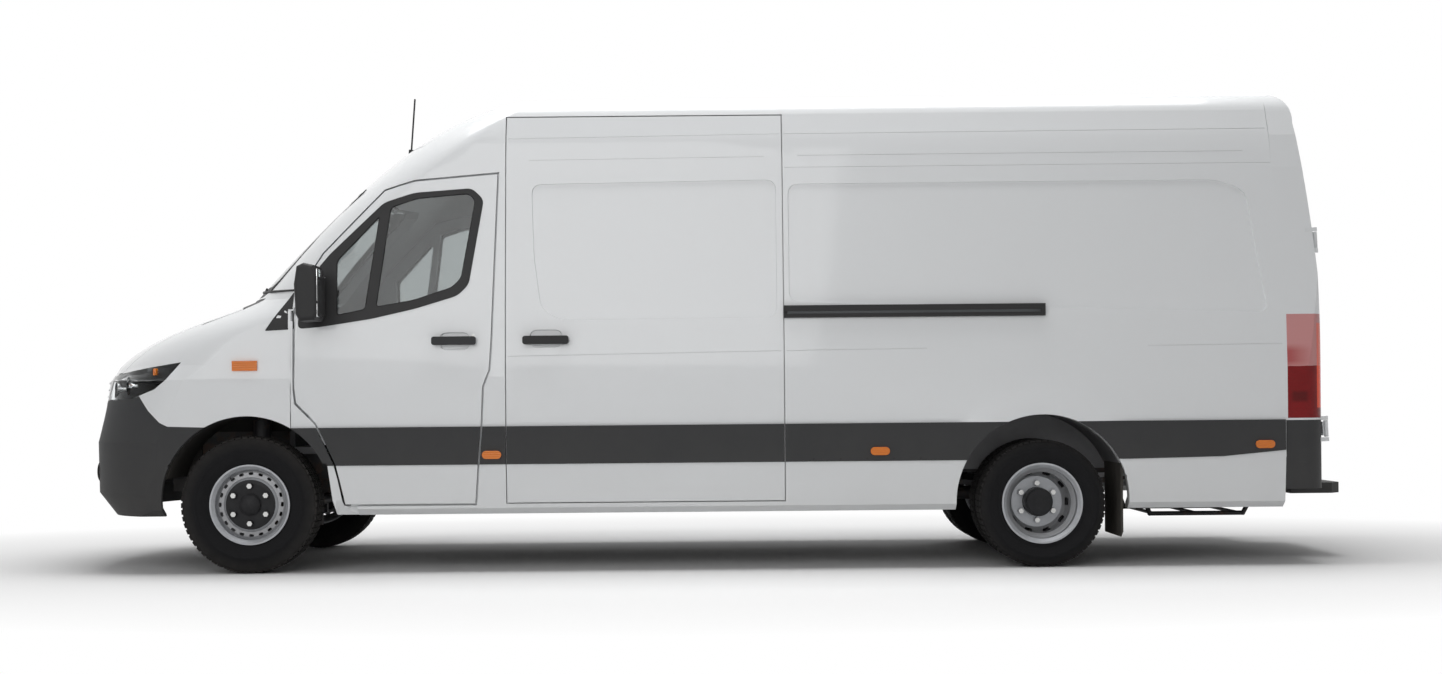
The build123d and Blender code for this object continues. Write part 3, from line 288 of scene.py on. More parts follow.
@dataclass(frozen=True)
class Paint(Finish):
    """Van paint under clear coat, with orange peel and road dust near the sills."""

    wear: Wear = Wear.LIGHT
    gloss: float = 0.32

    def build(self) -> bpy.types.Material:
        """Make the material.

        Returns:
            The material.
        """
        tree = ShaderTree(self.name)
        cloud = tree.noise(1.3, 4.0, 0.55)
        fine = tree.noise(38.0, 2.0)
        low = (1.0 - (tree.z / 0.95)).clamped()
        dust = ((low * low * cloud * 1.6) + (fine * 0.05)) * self.wear.value
        base = tree.blend(cloud * 0.5, shade(self.colour, 0.985), shade(self.colour, 1.015))
        colour = tree.blend(dust.clamped(), base, rgba(ROAD_DUST))
        peel = tree.noise(420.0, 1.0)
        rough = (dust * 0.5) + (cloud * 0.06) + self.gloss
        coat = (0.85 - dust).clamped()
        return tree.finish(Base_Color=colour, Roughness=rough, Coat_Weight=coat, Coat_Roughness=0.06,
                           Normal=tree.bump(peel, 0.00025, 0.5))


@dataclass(frozen=True)
class Plastic(Finish):
    """Moulded plastic with a fine leather-like grain."""

    rough: float = 0.55
    grain: float = 700.0
    depth: float = 0.0002
    shine: float = 0.28
    wear: Wear = Wear.LIGHT

    def build(self) -> bpy.types.Material:
        """Make the material.

        Returns:
            The material.
        """
        tree = ShaderTree(self.name)
        grain = tree.cells(self.grain)
        cloud = tree.noise(3.1, 4.0, 0.6)
        streak = tree.noise(11.0, 5.0, 0.7)
        dust = (((1.0 - (tree.z / 0.9)).clamped() * cloud) + (streak * 0.12)) * self.wear.value
        base = tree.blend(cloud, shade(self.colour, 0.85), shade(self.colour, 1.2))
        colour = tree.blend((dust * 0.6).clamped(), base, rgba(ROAD_DUST))
        return tree.finish(Base_Color=colour, Roughness=(cloud * 0.12) + self.rough + (dust * 0.2),
                           Specular_IOR_Level=self.shine, Normal=tree.bump(grain, self.depth, 0.6))


@dataclass(frozen=True)
class Metal(Finish):
    """Painted, bare or cast metal."""

    rough: float = 0.4
    metallic: float = 0.0
    skin: float = 160.0
    depth: float = 0.0004
    rust: float = 0.0

    def build(self) -> bpy.types.Material:
        """Make the material.

        Returns:
            The material.
        """
        tree = ShaderTree(self.name)
        skin = tree.noise(self.skin, 5.0, 0.6)
        patch = tree.noise(9.0, 6.0, 0.65)
        spot = ((patch - 0.52) * 6.0).clamped() * self.rust
        base = tree.blend(patch, shade(self.colour, 0.8), shade(self.colour, 1.2))
        colour = tree.blend(spot, base, (0.16, 0.075, 0.035, 1.0))
        rough = (skin * 0.15) + self.rough + (spot * 0.3)
        return tree.finish(Base_Color=colour, Roughness=rough.clamped(),
                           Metallic=(1.0 - spot) * self.metallic, Normal=tree.bump(skin, self.depth, 0.5))


@dataclass(frozen=True)
class WheelPaint(Finish):
    """Silver wheel whose middle is covered in black, told by the distance from the hub."""

    hub: Point = (0.0, 0.0, 0.0)
    cover_radius: float = 0.0
    cap_radius: float = 0.0

    def build(self) -> bpy.types.Material:
        """Make the material.

        Returns:
            The material.
        """
        tree = ShaderTree(self.name)
        radius = tree.radius(self.hub)
        grime = tree.noise(26.0, 5.0, 0.65)
        cover = radius < self.cover_radius
        cap = radius < self.cap_radius
        silver = tree.blend(grime, shade(self.colour, 0.72), shade(self.colour, 1.1))
        black = tree.blend(grime, (0.012, 0.012, 0.013, 1), (0.035, 0.035, 0.037, 1))
        colour = tree.blend(cover if self.cover_radius > self.cap_radius else cap, silver, black)
        dust = (radius.band(0.150, 0.185, 0.01) * grime * 0.5).clamped()
        return tree.finish(Base_Color=tree.blend(dust, colour, (0.09, 0.075, 0.06, 1)),
                           Roughness=(grime * 0.25) + 0.3, Metallic=(1.0 - cover) * 0.55,
                           Specular_IOR_Level=0.14, Normal=tree.bump(grime, 0.0003, 0.3))


@dataclass(frozen=True)
class Rubber(Finish):
    """Tyre rubber, greyer and dustier on the tread, with fine sidewall rings."""

    hub: Point = (0.0, 0.0, 0.0)
    ring: float = 420.0

    def build(self) -> bpy.types.Material:
        """Make the material.

        Returns:
            The material.
        """
        tree = ShaderTree(self.name)
        radius = tree.radius(self.hub)
        grime = tree.noise(18.0, 6.0, 0.7)
        pores = tree.noise(900.0, 2.0)
        rings = (radius * self.ring).sine() * radius.band(0.26, 0.31, 0.01)
        dusty = (((radius - 0.30) * 9.0).clamped() * grime * 0.75).clamped()
        base = tree.blend(grime, shade(self.colour, 0.7), shade(self.colour, 1.3))
        return tree.finish(Base_Color=tree.blend(dusty, base, (0.085, 0.078, 0.07, 1)),
                           Roughness=(grime * 0.15) + 0.72, Specular_IOR_Level=0.15,
                           Normal=tree.bump((rings * 0.6) + pores, 0.0006, 0.5))


@dataclass(frozen=True)
class Glass(Finish):
    """Clear or tinted glazing and lenses."""

    ior: float = 1.45
    rough: float = 0.02
    clear: float = 1.0
    flute: float = 0.0

    def build(self) -> bpy.types.Material:
        """Make the material.

        Returns:
            The material.
        """
        tree = ShaderTree(self.name)
        film = tree.noise(7.0, 4.0, 0.6)
        height = film
        depth = 0.00004
        if self.flute:
            height = (tree.z * self.flute).sine() * 0.5
            depth = 0.0012
        return tree.finish(Base_Color=tree.blend(film, shade(self.colour, 0.97), rgba(self.colour)),
                           Roughness=(film * 0.03) + self.rough, Transmission_Weight=self.clear, IOR=self.ior,
                           Normal=tree.bump(height, depth, 0.5))


@dataclass(frozen=True)
class TailLens(Finish):
    """Rear lamp lens: pale red above, deep red below, bright orange-red down its rear edge."""

    split: float = 1.088
    edge: float = 3.268
    rough: float = 0.10

    def build(self) -> bpy.types.Material:
        """Make the material.

        Returns:
            The material.
        """
        tree = ShaderTree(self.name)
        film = tree.noise(9.0, 4.0, 0.6)
        bulbs = tree.z.band(0.900, 0.935, 0.02) * tree.x.band(3.135, 3.200, 0.02)
        smoke = tree.z.band(1.110, 1.165, 0.04) * (1.0 - ((tree.x - 3.12) * 8.0).clamped())
        low = tree.blend(film, (0.17, 0.004, 0.005, 1), (0.28, 0.012, 0.014, 1))
        low = tree.blend(bulbs * 0.6, low, (0.06, 0.004, 0.004, 1))
        high = tree.blend(smoke * 0.75, (0.62, 0.290, 0.285, 1), (0.40, 0.050, 0.050, 1))
        upper = (tree.z + (film * 0.012)) > self.split
        body = tree.blend(upper, low, high)
        strip = (tree.x > self.edge) * tree.z.band(0.860, 1.310, 0.01)
        bright = tree.blend(upper, (1.0, 0.075, 0.012, 1), (0.92, 0.19, 0.13, 1))
        ribs = (tree.z * 420.0).sine() * 0.5
        return tree.finish(Base_Color=tree.blend(strip, body, bright), Roughness=(film * 0.04) + self.rough,
                           Specular_IOR_Level=0.16, Normal=tree.bump(ribs, 0.0008, 0.4))


@dataclass(frozen=True)
class Cloth(Finish):
    """Woven seat cloth."""

    thread: float = 0.0022

    def build(self) -> bpy.types.Material:
        """Make the material.

        Returns:
            The material.
        """
        tree = ShaderTree(self.name)
        turn = 2 * math.pi / self.thread
        across = (tree.y * turn).sine()
        along = ((tree.x + tree.z) * turn).sine()
        weave = (across * along) * 0.5 + 0.5
        fleck = tree.noise(520.0, 2.0)
        wear = tree.noise(4.0, 4.0)
        base = tree.blend((weave * 0.6) + (fleck * 0.4), shade(self.colour, 0.6), shade(self.colour, 1.5))
        return tree.finish(Base_Color=tree.blend(wear * 0.3, base, shade(self.colour, 1.8)), Roughness=0.9,
                           Sheen_Weight=0.25, Normal=tree.bump(weave, 0.0004, 0.7))


# The van's finishes
BODY_GREY: Colour = (0.735, 0.750, 0.762)
DARK_PLASTIC: Colour = (0.030, 0.031, 0.033)

PAINT = Paint("van_paint", "body_paint", BODY_GREY)
CLADDING = Plastic("cladding_plastic", "grey_plastic", DARK_PLASTIC, rough=0.58, grain=520.0)
BLACK = Plastic("black_plastic_skin", "black_plastic", (0.014, 0.014, 0.015), rough=0.42, grain=900.0)
SEAL = Plastic("seal_rubber", "rubber", (0.010, 0.010, 0.011), rough=0.7, grain=300.0)
TRIM = Plastic("cab_trim", "trim_plastic", (0.035, 0.036, 0.040), rough=0.62, grain=480.0, depth=0.0003,
               wear=Wear.CLEAN)
GLAZE = Glass("tinted_glass", "glass", (0.50, 0.53, 0.53))
LENS = Glass("lamp_lens", "lamp_clear", (0.93, 0.95, 0.96), ior=1.12)
RED_LENS = Glass("red_lens", "lamp_red", (0.52, 0.012, 0.016), rough=0.06, clear=0.12, flute=420.0)
STRIP = Plastic("rail_strip_grey", "grey_plastic", (0.15, 0.158, 0.165), rough=0.5)
TAIL_LENS = TailLens("tail_lens", "lamp_red", (0.52, 0.012, 0.016))
AMBER_LENS = Glass("amber_lens", "lamp_amber", (0.78, 0.20, 0.012), rough=0.08, clear=0.10, flute=520.0)
REFLECTOR = Metal("lamp_reflector", "lamp_clear", (0.86, 0.87, 0.88), rough=0.08, metallic=1.0, depth=0.00005)
CHASSIS = Metal("chassis_paint", "dark_steel", (0.022, 0.022, 0.024), rough=0.5, rust=0.35)
CAST = Metal("cast_iron", "iron", (0.075, 0.072, 0.070), rough=0.55, metallic=0.6, skin=320.0,
             depth=0.0009, rust=0.6)
ZINC = Metal("zinc_plate", "wheel_silver", (0.55, 0.55, 0.54), rough=0.32, metallic=0.9)
CLOTH = Cloth("seat_cloth", "seat_fabric", (0.035, 0.040, 0.050))
CLOTH_PALE = Cloth("seat_cloth_panel", "seat_fabric", (0.075, 0.085, 0.105), thread=0.003)
FLAP = Plastic("flap_rubber", "rubber", (0.012, 0.012, 0.012), rough=0.75, grain=260.0, wear=Wear.ROAD)
DECK = Metal("deck_steel", "dark_steel", (0.16, 0.16, 0.165), rough=0.45, metallic=0.5)
BOARD = Plastic("deck_board", "trim_plastic", (0.105, 0.085, 0.065), rough=0.55)
GRIP = Plastic("grip_strip", "black_plastic", (0.03, 0.03, 0.032), rough=0.7)
SILVER: Colour = (0.42, 0.43, 0.45)
TYRE_BLACK: Colour = (0.010, 0.010, 0.011)

FINISH_NODES: list[tuple[Finish, tuple[str, ...]]] = [
    (BLACK, ("cowl", "grille", "mirror_left", "mirror_right", "fuel_tank", "slide_rail", "antenna")),
    (CLADDING, ("front_bumper", "rear_bumper", "rear_step", "door_trim_left", "door_trim_right",
                "side_cladding")),
    (CHASSIS, ("front_axle", "chassis_rails", "cross_members", "leaf_springs", "drive_shaft", "exhaust",
               "firewall", "spare_carrier")),
    (CAST, ("knuckle_left", "knuckle_right", "rear_axle", "engine")),
    (GLAZE, ("windscreen", "door_glass_left", "door_glass_right")),
    (TRIM, ("dashboard", "steering_wheel", "seat_bases")),
    (FLAP, ("arch_liners", "mudflaps")),
    (LENS, ("headlamps",)),
    (TAIL_LENS, ("tail_lamps",)),
    (AMBER_LENS, ("side_lamps",)),
    (DECK, ("floor",)),
    (BOARD, ("load_deck",)),
    (CLOTH, ("seats",)),
]
NODE_FINISHES: dict[str, Finish] = {node: finish for finish, nodes in FINISH_NODES for node in nodes}


def along(x_mm: float) -> float:
    """Frame X of a place given in millimetres behind the front axle."""
    return FRONT_AXLE_X + x_mm / 1000


def flat(points: Iterable[tuple[float, float]]) -> Outline:
    """Side-view outline in the frame, from (mm behind the front axle, mm up)."""
    return [(along(x), z / 1000) for x, z in points]


def turn_angles(count: int) -> list[float]:
    """Angles in radians of even steps round a full turn."""
    return [2 * math.pi * k / count for k in range(count)]


def even(low: float, high: float, count: int) -> list[float]:
    """Evenly spaced values from low to high."""
    return [low + (high - low) * k / (count - 1) for k in range(count)]


def link_object(name: str, data: bpy.types.ID) -> bpy.types.Object:
    """Add an object to the scene.

    Args:
        name: the object's name.
        data: its mesh, camera or lamp.

    Returns:
        The object.
    """
    thing = bpy.data.objects.new(name, data)
    bpy.context.scene.collection.objects.link(thing)
    return thing


def into_mesh(name: str, work: bmesh.types.BMesh) -> bpy.types.Mesh:
    """Turn a bmesh into a mesh and free it.

    Args:
        name: the mesh's name.
        work: the bmesh, freed here.

    Returns:
        The mesh.
    """
    mesh = bpy.data.meshes.new(name)
    work.to_mesh(mesh)
    work.free()
    return mesh


def dress(thing: bpy.types.Object, *finishes: Finish) -> None:
    """Give an object its materials in order.

    Args:
        thing: the object.
        finishes: its finishes in slot order.
    """
    thing.data.materials.clear()
    for finish in finishes:
        thing.data.materials.append(finish.material())


def smooth_by_angle(mesh: bpy.types.Mesh, degrees: float = 32.0) -> None:
    """Shade a mesh smooth with its sharp edges kept.

    Args:
        mesh: the mesh.
        degrees: edges sharper than this stay sharp.
    """
    work = bmesh.new()
    work.from_mesh(mesh)
    limit = math.radians(degrees)
    for face in work.faces:
        face.smooth = True
    for edge in work.edges:
        edge.smooth = len(edge.link_faces) == 2 and edge.calc_face_angle(0.0) < limit
    work.to_mesh(mesh)
    work.free()


def add_piece(name: str, work: bmesh.types.BMesh, body: Body, *finishes: Finish, angle: float = 32.0,
              outward: bool = True) -> bpy.types.Object:
    """Turn a bmesh into a finished piece that rides on a body.

    Args:
        name: the piece's name.
        work: the mesh, in frame metres; freed here.
        body: the body that it rides on.
        finishes: materials in slot order.
        angle: shading angle in degrees.
        outward: recalculate the normals to point out.

    Returns:
        The piece.
    """
    bmesh.ops.remove_doubles(work, verts=work.verts, dist=1e-6)
    if outward:
        bmesh.ops.recalc_face_normals(work, faces=work.faces)
    return place_mesh(name, into_mesh(name, work), body, *finishes, angle=angle)


def place_mesh(name: str, mesh: bpy.types.Mesh, body: Body, *finishes: Finish, angle: float = 32.0
               ) -> bpy.types.Object:
    """Link a finished mesh as a piece on a body.

    Args:
        name: the piece's name.
        mesh: its mesh, in frame metres.
        body: the body that it rides on.
        finishes: materials in slot order.
        angle: shading angle in degrees.

    Returns:
        The piece.
    """
    smooth_by_angle(mesh, angle)
    piece = link_object(name, mesh)
    dress(piece, *finishes)
    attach(piece, body.value)
    log.info("piece %s: %d faces", name, len(mesh.polygons))
    return piece


def cad_copy(node: str) -> bmesh.types.BMesh:
    """A merged copy of a CAD node's mesh.

    Args:
        node: the node's name.

    Returns:
        The copy.
    """
    work = bmesh.new()
    work.from_mesh(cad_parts[node].data)
    bmesh.ops.remove_doubles(work, verts=work.verts, dist=2e-5)
    return work


class Surface:
    """Outer skin of some CAD nodes, to lay pieces on."""

    def __init__(self, nodes: Sequence[str]) -> None:
        """Gather the faces of the nodes.

        Args:
            nodes: names of the CAD nodes.
        """
        work = bmesh.new()
        for node in nodes:
            work.from_mesh(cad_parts[node].data)
        self.tree = BVHTree.FromBMesh(work)
        work.free()

    def hit(self, start: Point, direction: Point) -> Vector | None:
        """First point that a ray meets."""
        return self.tree.ray_cast(Vector(start), Vector(direction))[0]

    def from_front(self, y: float, z: float) -> Vector | None:
        """First point met from ahead of the van."""
        return self.hit((AHEAD_X, y, z), (1, 0, 0))

    def from_rear(self, y: float, z: float) -> Vector | None:
        """First point met from behind the van."""
        return self.hit((BEHIND_X, y, z), (-1, 0, 0))

    def from_seats(self, y: float, z: float) -> Vector | None:
        """First point met forward of the seats."""
        return self.hit((SEATS_X, y, z), (-1, 0, 0))

    def from_side(self, x: float, z: float, side: int) -> Vector | None:
        """First point met from beside the van."""
        return self.hit((x, side * BESIDE_Y, z), (0, -side, 0))

    def side_y(self, x: float, z: float, side: int = LEFT) -> float:
        """Y of the outer skin at a place in the side view."""
        place = self.from_side(x, z, side)
        return place.y if place else side * HALF_WIDTH


class TailSurface(Surface):
    """Skin carried on from the front fender to the door across the fender's tail."""

    fender_x = -2.316
    door_x = -1.934
    arch_top = 0.83

    def side_y(self, x: float, z: float, side: int = LEFT) -> float:
        """Y of the skin between the fender's side and the door's.

        Args:
            x: frame X.
            z: height.
            side: LEFT or RIGHT.

        Returns:
            Frame Y of the skin.
        """
        behind = super().side_y(self.door_x, z, side)
        if z < self.arch_top:
            return behind
        ahead = super().side_y(self.fender_x, z, side)
        share = (x - self.fender_x) / (self.door_x - self.fender_x)
        return ahead + (behind - ahead) * share


class GlazedSurface(Surface):
    """Door skin carried on across its sunk panes."""

    def __init__(self, skin: Sequence[str], panes: Sequence[str], sink: float = 0.003) -> None:
        """Gather the door's skin and its panes.

        Args:
            skin: nodes of the door.
            panes: nodes of its glass.
            sink: how far the panes are sunk.
        """
        super().__init__(skin)
        self.panes = Surface(panes)
        self.sink = sink

    def side_y(self, x: float, z: float, side: int = LEFT) -> float:
        """Y of the skin, or of the pane brought out to the skin's level.

        Args:
            x: frame X.
            z: height.
            side: LEFT or RIGHT.

        Returns:
            Frame Y of the skin.
        """
        skin = self.from_side(x, z, side)
        pane = self.panes.from_side(x, z, side)
        if pane is None:
            return skin.y if skin else side * HALF_WIDTH
        level = pane.y + side * self.sink
        if skin is None or side * skin.y < side * level - 0.004:
            return level
        return skin.y


def bridge(work: bmesh.types.BMesh, here: Sequence[bmesh.types.BMVert], there: Sequence[bmesh.types.BMVert]
           ) -> None:
    """Faces between two closed rings of the same count.

    Args:
        work: mesh to add to.
        here: one ring's corners.
        there: the next ring's.
    """
    count = len(here)
    for k in range(count):
        j = (k + 1) % count
        work.faces.new((here[k], here[j], there[j], there[k]))


def tube(work: bmesh.types.BMesh, path: Sequence[Point], radius: float, sides: int = 8, closed: bool = False
         ) -> None:
    """Round bar along a path.

    Args:
        work: mesh to add to.
        path: points in metres.
        radius: bar radius.
        sides: faces round it.
        closed: join the end to the start.
    """
    points = [Vector(p) for p in path]
    count = len(points)
    rings: list[list[bmesh.types.BMVert]] = []
    for i, point in enumerate(points):
        ahead = points[(i + 1) % count] if closed or i < count - 1 else point
        behind = points[i - 1] if closed or i > 0 else point
        run = (ahead - behind).normalized()
        first = run.orthogonal().normalized() if i == 0 else (first - run * first.dot(run)).normalized()
        second = run.cross(first)
        rings.append([work.verts.new(point + (first * math.cos(a) + second * math.sin(a)) * radius)
                      for a in turn_angles(sides)])
    for here, there in zip(rings, rings[1:]):
        bridge(work, here, there)
    if closed:
        bridge(work, rings[-1], rings[0])
    else:
        work.faces.new(list(reversed(rings[0])))
        work.faces.new(rings[-1])


def block(work: bmesh.types.BMesh, low: Point, high: Point, round_off: float = 0.0, steps: int = 2) -> None:
    """Box between two corners, its edges rounded off.

    Args:
        work: mesh to add to.
        low: corner with the lowest values.
        high: corner with the highest values.
        round_off: radius of its edges.
        steps: faces across a rounded edge.
    """
    made = bmesh.ops.create_cube(work, size=1.0)["verts"]
    for vert in made:
        vert.co = Vector((low[i] + (high[i] - low[i]) * (vert.co[i] + 0.5) for i in range(3)))
    if round_off:
        edges = list({e for v in made for e in v.link_edges})
        bmesh.ops.bevel(work, geom=edges, offset=round_off, segments=steps, affect="EDGES", profile=0.5)


def revolve(work: bmesh.types.BMesh, profile: Sequence[tuple[float, float]], centre: Point, side: int,
            segments: int = 72, closed: bool = True) -> None:
    """Turn a (radius, outward distance) outline about a line across the van.

    Args:
        work: mesh to add to.
        profile: outline points.
        centre: point on the axis where outward distance is 0.
        side: LEFT or RIGHT, which way outward is.
        segments: steps round the turn.
        closed: join the outline's end to its start.
    """
    rings = []
    for a in turn_angles(segments):
        rings.append([work.verts.new((centre[0] + r * math.cos(a), centre[1] + side * w,
                                      centre[2] + r * math.sin(a))) for r, w in profile])
    count = len(profile)
    for here, there in zip(rings, rings[1:] + rings[:1]):
        for i in range(count if closed else count - 1):
            j = (i + 1) % count
            work.faces.new((here[i], here[j], there[j], there[i]))


def round_corners(points: Outline, radius: float, steps: int = 5) -> Outline:
    """An outline with its corners as arcs of points.

    Args:
        points: the outline's corners.
        radius: reach of each arc.
        steps: steps along each arc.

    Returns:
        The rounded outline.
    """
    result: Outline = []
    count = len(points)
    for i in range(count):
        here = Vector((*points[i], 0))
        back = Vector((*points[i - 1], 0)) - here
        ahead = Vector((*points[(i + 1) % count], 0)) - here
        reach = min(radius, back.length * 0.45, ahead.length * 0.45)
        start, end = here + back.normalized() * reach, here + ahead.normalized() * reach
        for k in range(steps + 1):
            t = k / steps
            spot = start * (1 - t) ** 2 + here * 2 * t * (1 - t) + end * t ** 2
            result.append((spot.x, spot.y))
    return result


def fill_outline(loops: Sequence[Outline]) -> bmesh.types.BMesh:
    """Flat mesh in (x, z) of an outline, with the loops after the first cut out.

    Args:
        loops: the outline, then its holes.

    Returns:
        The flat mesh, at Y = 0.
    """
    work = bmesh.new()
    edges = []
    for loop in loops:
        verts = [work.verts.new((x, 0, z)) for x, z in loop]
        edges += [work.edges.new((verts[i], verts[(i + 1) % len(verts)])) for i in range(len(verts))]
    bmesh.ops.triangle_fill(work, edges=edges, use_beauty=True, normal=Vector((0, 1, 0)))
    return work


def slab_on_side(work: bmesh.types.BMesh, loops: Sequence[Outline], surface: Surface, proud: float,
                 sunk: float, side: int = LEFT, cell: float = 0.08) -> None:
    """Thin slab laid on the body side, following the skin.

    Args:
        work: mesh to add to.
        loops: outline and holes in the side view.
        surface: what it lies on.
        proud: how far its face stands out.
        sunk: how far its back is below the skin.
        side: LEFT or RIGHT.
        cell: largest spacing of its cross cuts.
    """
    sheet = fill_outline(loops)
    xs = [v.co.x for v in sheet.verts]
    zs = [v.co.z for v in sheet.verts]
    for axis, low, high in ((0, min(xs), max(xs)), (2, min(zs), max(zs))):
        normal = Vector((1, 0, 0)) if axis == 0 else Vector((0, 0, 1))
        for k in range(1, int((high - low) / cell) + 1):
            spot = normal * (low + k * cell)
            bmesh.ops.bisect_plane(sheet, geom=sheet.verts[:] + sheet.edges[:] + sheet.faces[:],
                                   plane_co=spot, plane_no=normal)
    front, back = {}, {}
    for vert in sheet.verts:
        y = surface.side_y(vert.co.x, vert.co.z, side)
        front[vert] = work.verts.new((vert.co.x, y + side * proud, vert.co.z))
        back[vert] = work.verts.new((vert.co.x, y - side * sunk, vert.co.z))
    for face in sheet.faces:
        work.faces.new([front[v] for v in face.verts])
        work.faces.new([back[v] for v in reversed(face.verts)])
    for edge in sheet.edges:
        if len(edge.link_faces) == 1:
            a, b = edge.verts
            work.faces.new((front[a], front[b], back[b], back[a]))
    sheet.free()


class CopyTree:
    """Geometry Nodes that set copies of a small mesh round an axle or along a line."""

    def __init__(self, name: str) -> None:
        """Start a tree with the inputs that both kinds share.

        Args:
            name: the tree's name.
        """
        self.tree = bpy.data.node_groups.new(name, "GeometryNodeTree")
        for way in ("INPUT", "OUTPUT"):
            self.tree.interface.new_socket("Geometry", in_out=way, socket_type="NodeSocketGeometry")
        self.entry = self.tree.nodes.new("NodeGroupInput")
        self.exit = self.tree.nodes.new("NodeGroupOutput")
        self.count = self.value("Count", "Int")
        self.source = self.value("Source", "Object")
        self.material = self.value("Material", "Material")

    def value(self, name: str, kind: str) -> bpy.types.NodeSocket:
        """Add a named input and return its socket inside the tree."""
        self.tree.interface.new_socket(name, in_out="INPUT", socket_type=f"NodeSocket{kind}")
        return self.entry.outputs[name]

    def node(self, kind: str, inputs: dict[object, object], **settings: object) -> bpy.types.NodeSocket:
        """Add a node and return its first output."""
        return add_node(self.tree, kind, settings, inputs).outputs[0]

    def calc(self, operation: str, *values: object) -> bpy.types.NodeSocket:
        """Result of a math node."""
        return self.node("ShaderNodeMath", dict(enumerate(values)), operation=operation)

    def copies(self, points: bpy.types.NodeSocket, **inputs: bpy.types.NodeSocket) -> bpy.types.NodeTree:
        """Set the source on the points, make the copies real and give them their material.

        Args:
            points: where the copies go.
            inputs: more links of the copying node.

        Returns:
            The finished tree.
        """
        shape = add_node(self.tree, "GeometryNodeObjectInfo", {}, {"Object": self.source})
        placed = self.node("GeometryNodeInstanceOnPoints",
                           {"Points": points, "Instance": shape.outputs["Geometry"], **inputs})
        real = self.node("GeometryNodeRealizeInstances", {0: placed})
        skin = self.node("GeometryNodeSetMaterial", {"Geometry": real, "Material": self.material})
        self.tree.links.new(skin, self.exit.inputs[0])
        return self.tree


def ring_tree() -> bpy.types.NodeTree:
    """Copies round the Y axis: count, radius, start angle and centre.

    Returns:
        The tree.
    """
    kit = CopyTree("copies_round_axle")
    radius, start = kit.value("Radius", "Float"), kit.value("Start", "Float")
    line = kit.node("GeometryNodeMeshLine", {"Count": kit.count, "Offset": (0.0, 0.0, 0.0)})
    share = kit.calc("DIVIDE", kit.node("GeometryNodeInputIndex", {}), kit.count)
    turn = kit.calc("MULTIPLY_ADD", share, 2 * math.pi, start)
    offset_x = kit.calc("MULTIPLY", kit.calc("COSINE", turn), radius)
    offset_z = kit.calc("MULTIPLY", kit.calc("SINE", turn), radius)
    offset = kit.node("ShaderNodeCombineXYZ", {0: offset_x, 2: offset_z})
    spot = kit.node("ShaderNodeVectorMath", {0: offset, 1: kit.value("Centre", "Vector")}, operation="ADD")
    points = kit.node("GeometryNodeSetPosition", {"Geometry": line, "Position": spot})
    facing = kit.node("ShaderNodeCombineXYZ", {1: kit.calc("MULTIPLY", turn, -1.0)})
    return kit.copies(points, Rotation=facing)


def line_tree() -> bpy.types.NodeTree:
    """Copies along a straight line: count, first place and step.

    Returns:
        The tree.
    """
    kit = CopyTree("copies_along_line")
    first, step = kit.value("First", "Vector"), kit.value("Step", "Vector")
    line = kit.node("GeometryNodeMeshLine", {"Count": kit.count, "Start Location": first, "Offset": step})
    return kit.copies(line)


class Repeats:
    """Runs the two trees and gives plain meshes."""

    def __init__(self) -> None:
        """Build both trees."""
        self.ring_nodes = ring_tree()
        self.line_nodes = line_tree()

    def _run(self, nodes: bpy.types.NodeTree, unit: bmesh.types.BMesh, finish: Finish,
             values: dict[str, object]) -> bpy.types.Mesh:
        """Evaluate one tree on a small source mesh.

        Args:
            nodes: the tree.
            unit: mesh of one copy, freed here.
            finish: its finish.
            values: the tree's inputs by name.

        Returns:
            A plain mesh of all the copies.
        """
        bmesh.ops.recalc_face_normals(unit, faces=unit.faces)
        source = link_object("unit", into_mesh("unit", unit))
        host = link_object("host", bpy.data.meshes.new("host"))
        modifier = host.modifiers.new("copies", "NODES")
        modifier.node_group = nodes
        named = {item.name: item.identifier for item in nodes.interface.items_tree if item.in_out == "INPUT"}
        for name, value in {**values, "Source": source, "Material": finish.material()}.items():
            modifier[named[name]] = value
        bpy.context.view_layer.update()
        shaped = host.evaluated_get(bpy.context.evaluated_depsgraph_get())
        mesh = bpy.data.meshes.new_from_object(shaped)
        host.modifiers.remove(modifier)
        for thing in (host, source):
            bpy.data.objects.remove(thing)
        return mesh

    def ring(self, unit: bmesh.types.BMesh, finish: Finish, count: int, radius: float, centre: Point,
             start: float = 0.0) -> bpy.types.Mesh:
        """Copies of a unit, modelled at radius 0 pointing along +X, round a line across the van."""
        return self._run(self.ring_nodes, unit, finish,
                         {"Count": count, "Radius": radius, "Start": start, "Centre": centre})

    def line(self, unit: bmesh.types.BMesh, finish: Finish, count: int, first: Point, step: Point
             ) -> bpy.types.Mesh:
        """Copies of a unit along a line."""
        return self._run(self.line_nodes, unit, finish, {"Count": count, "First": first, "Step": step})


REPEATS = Repeats()


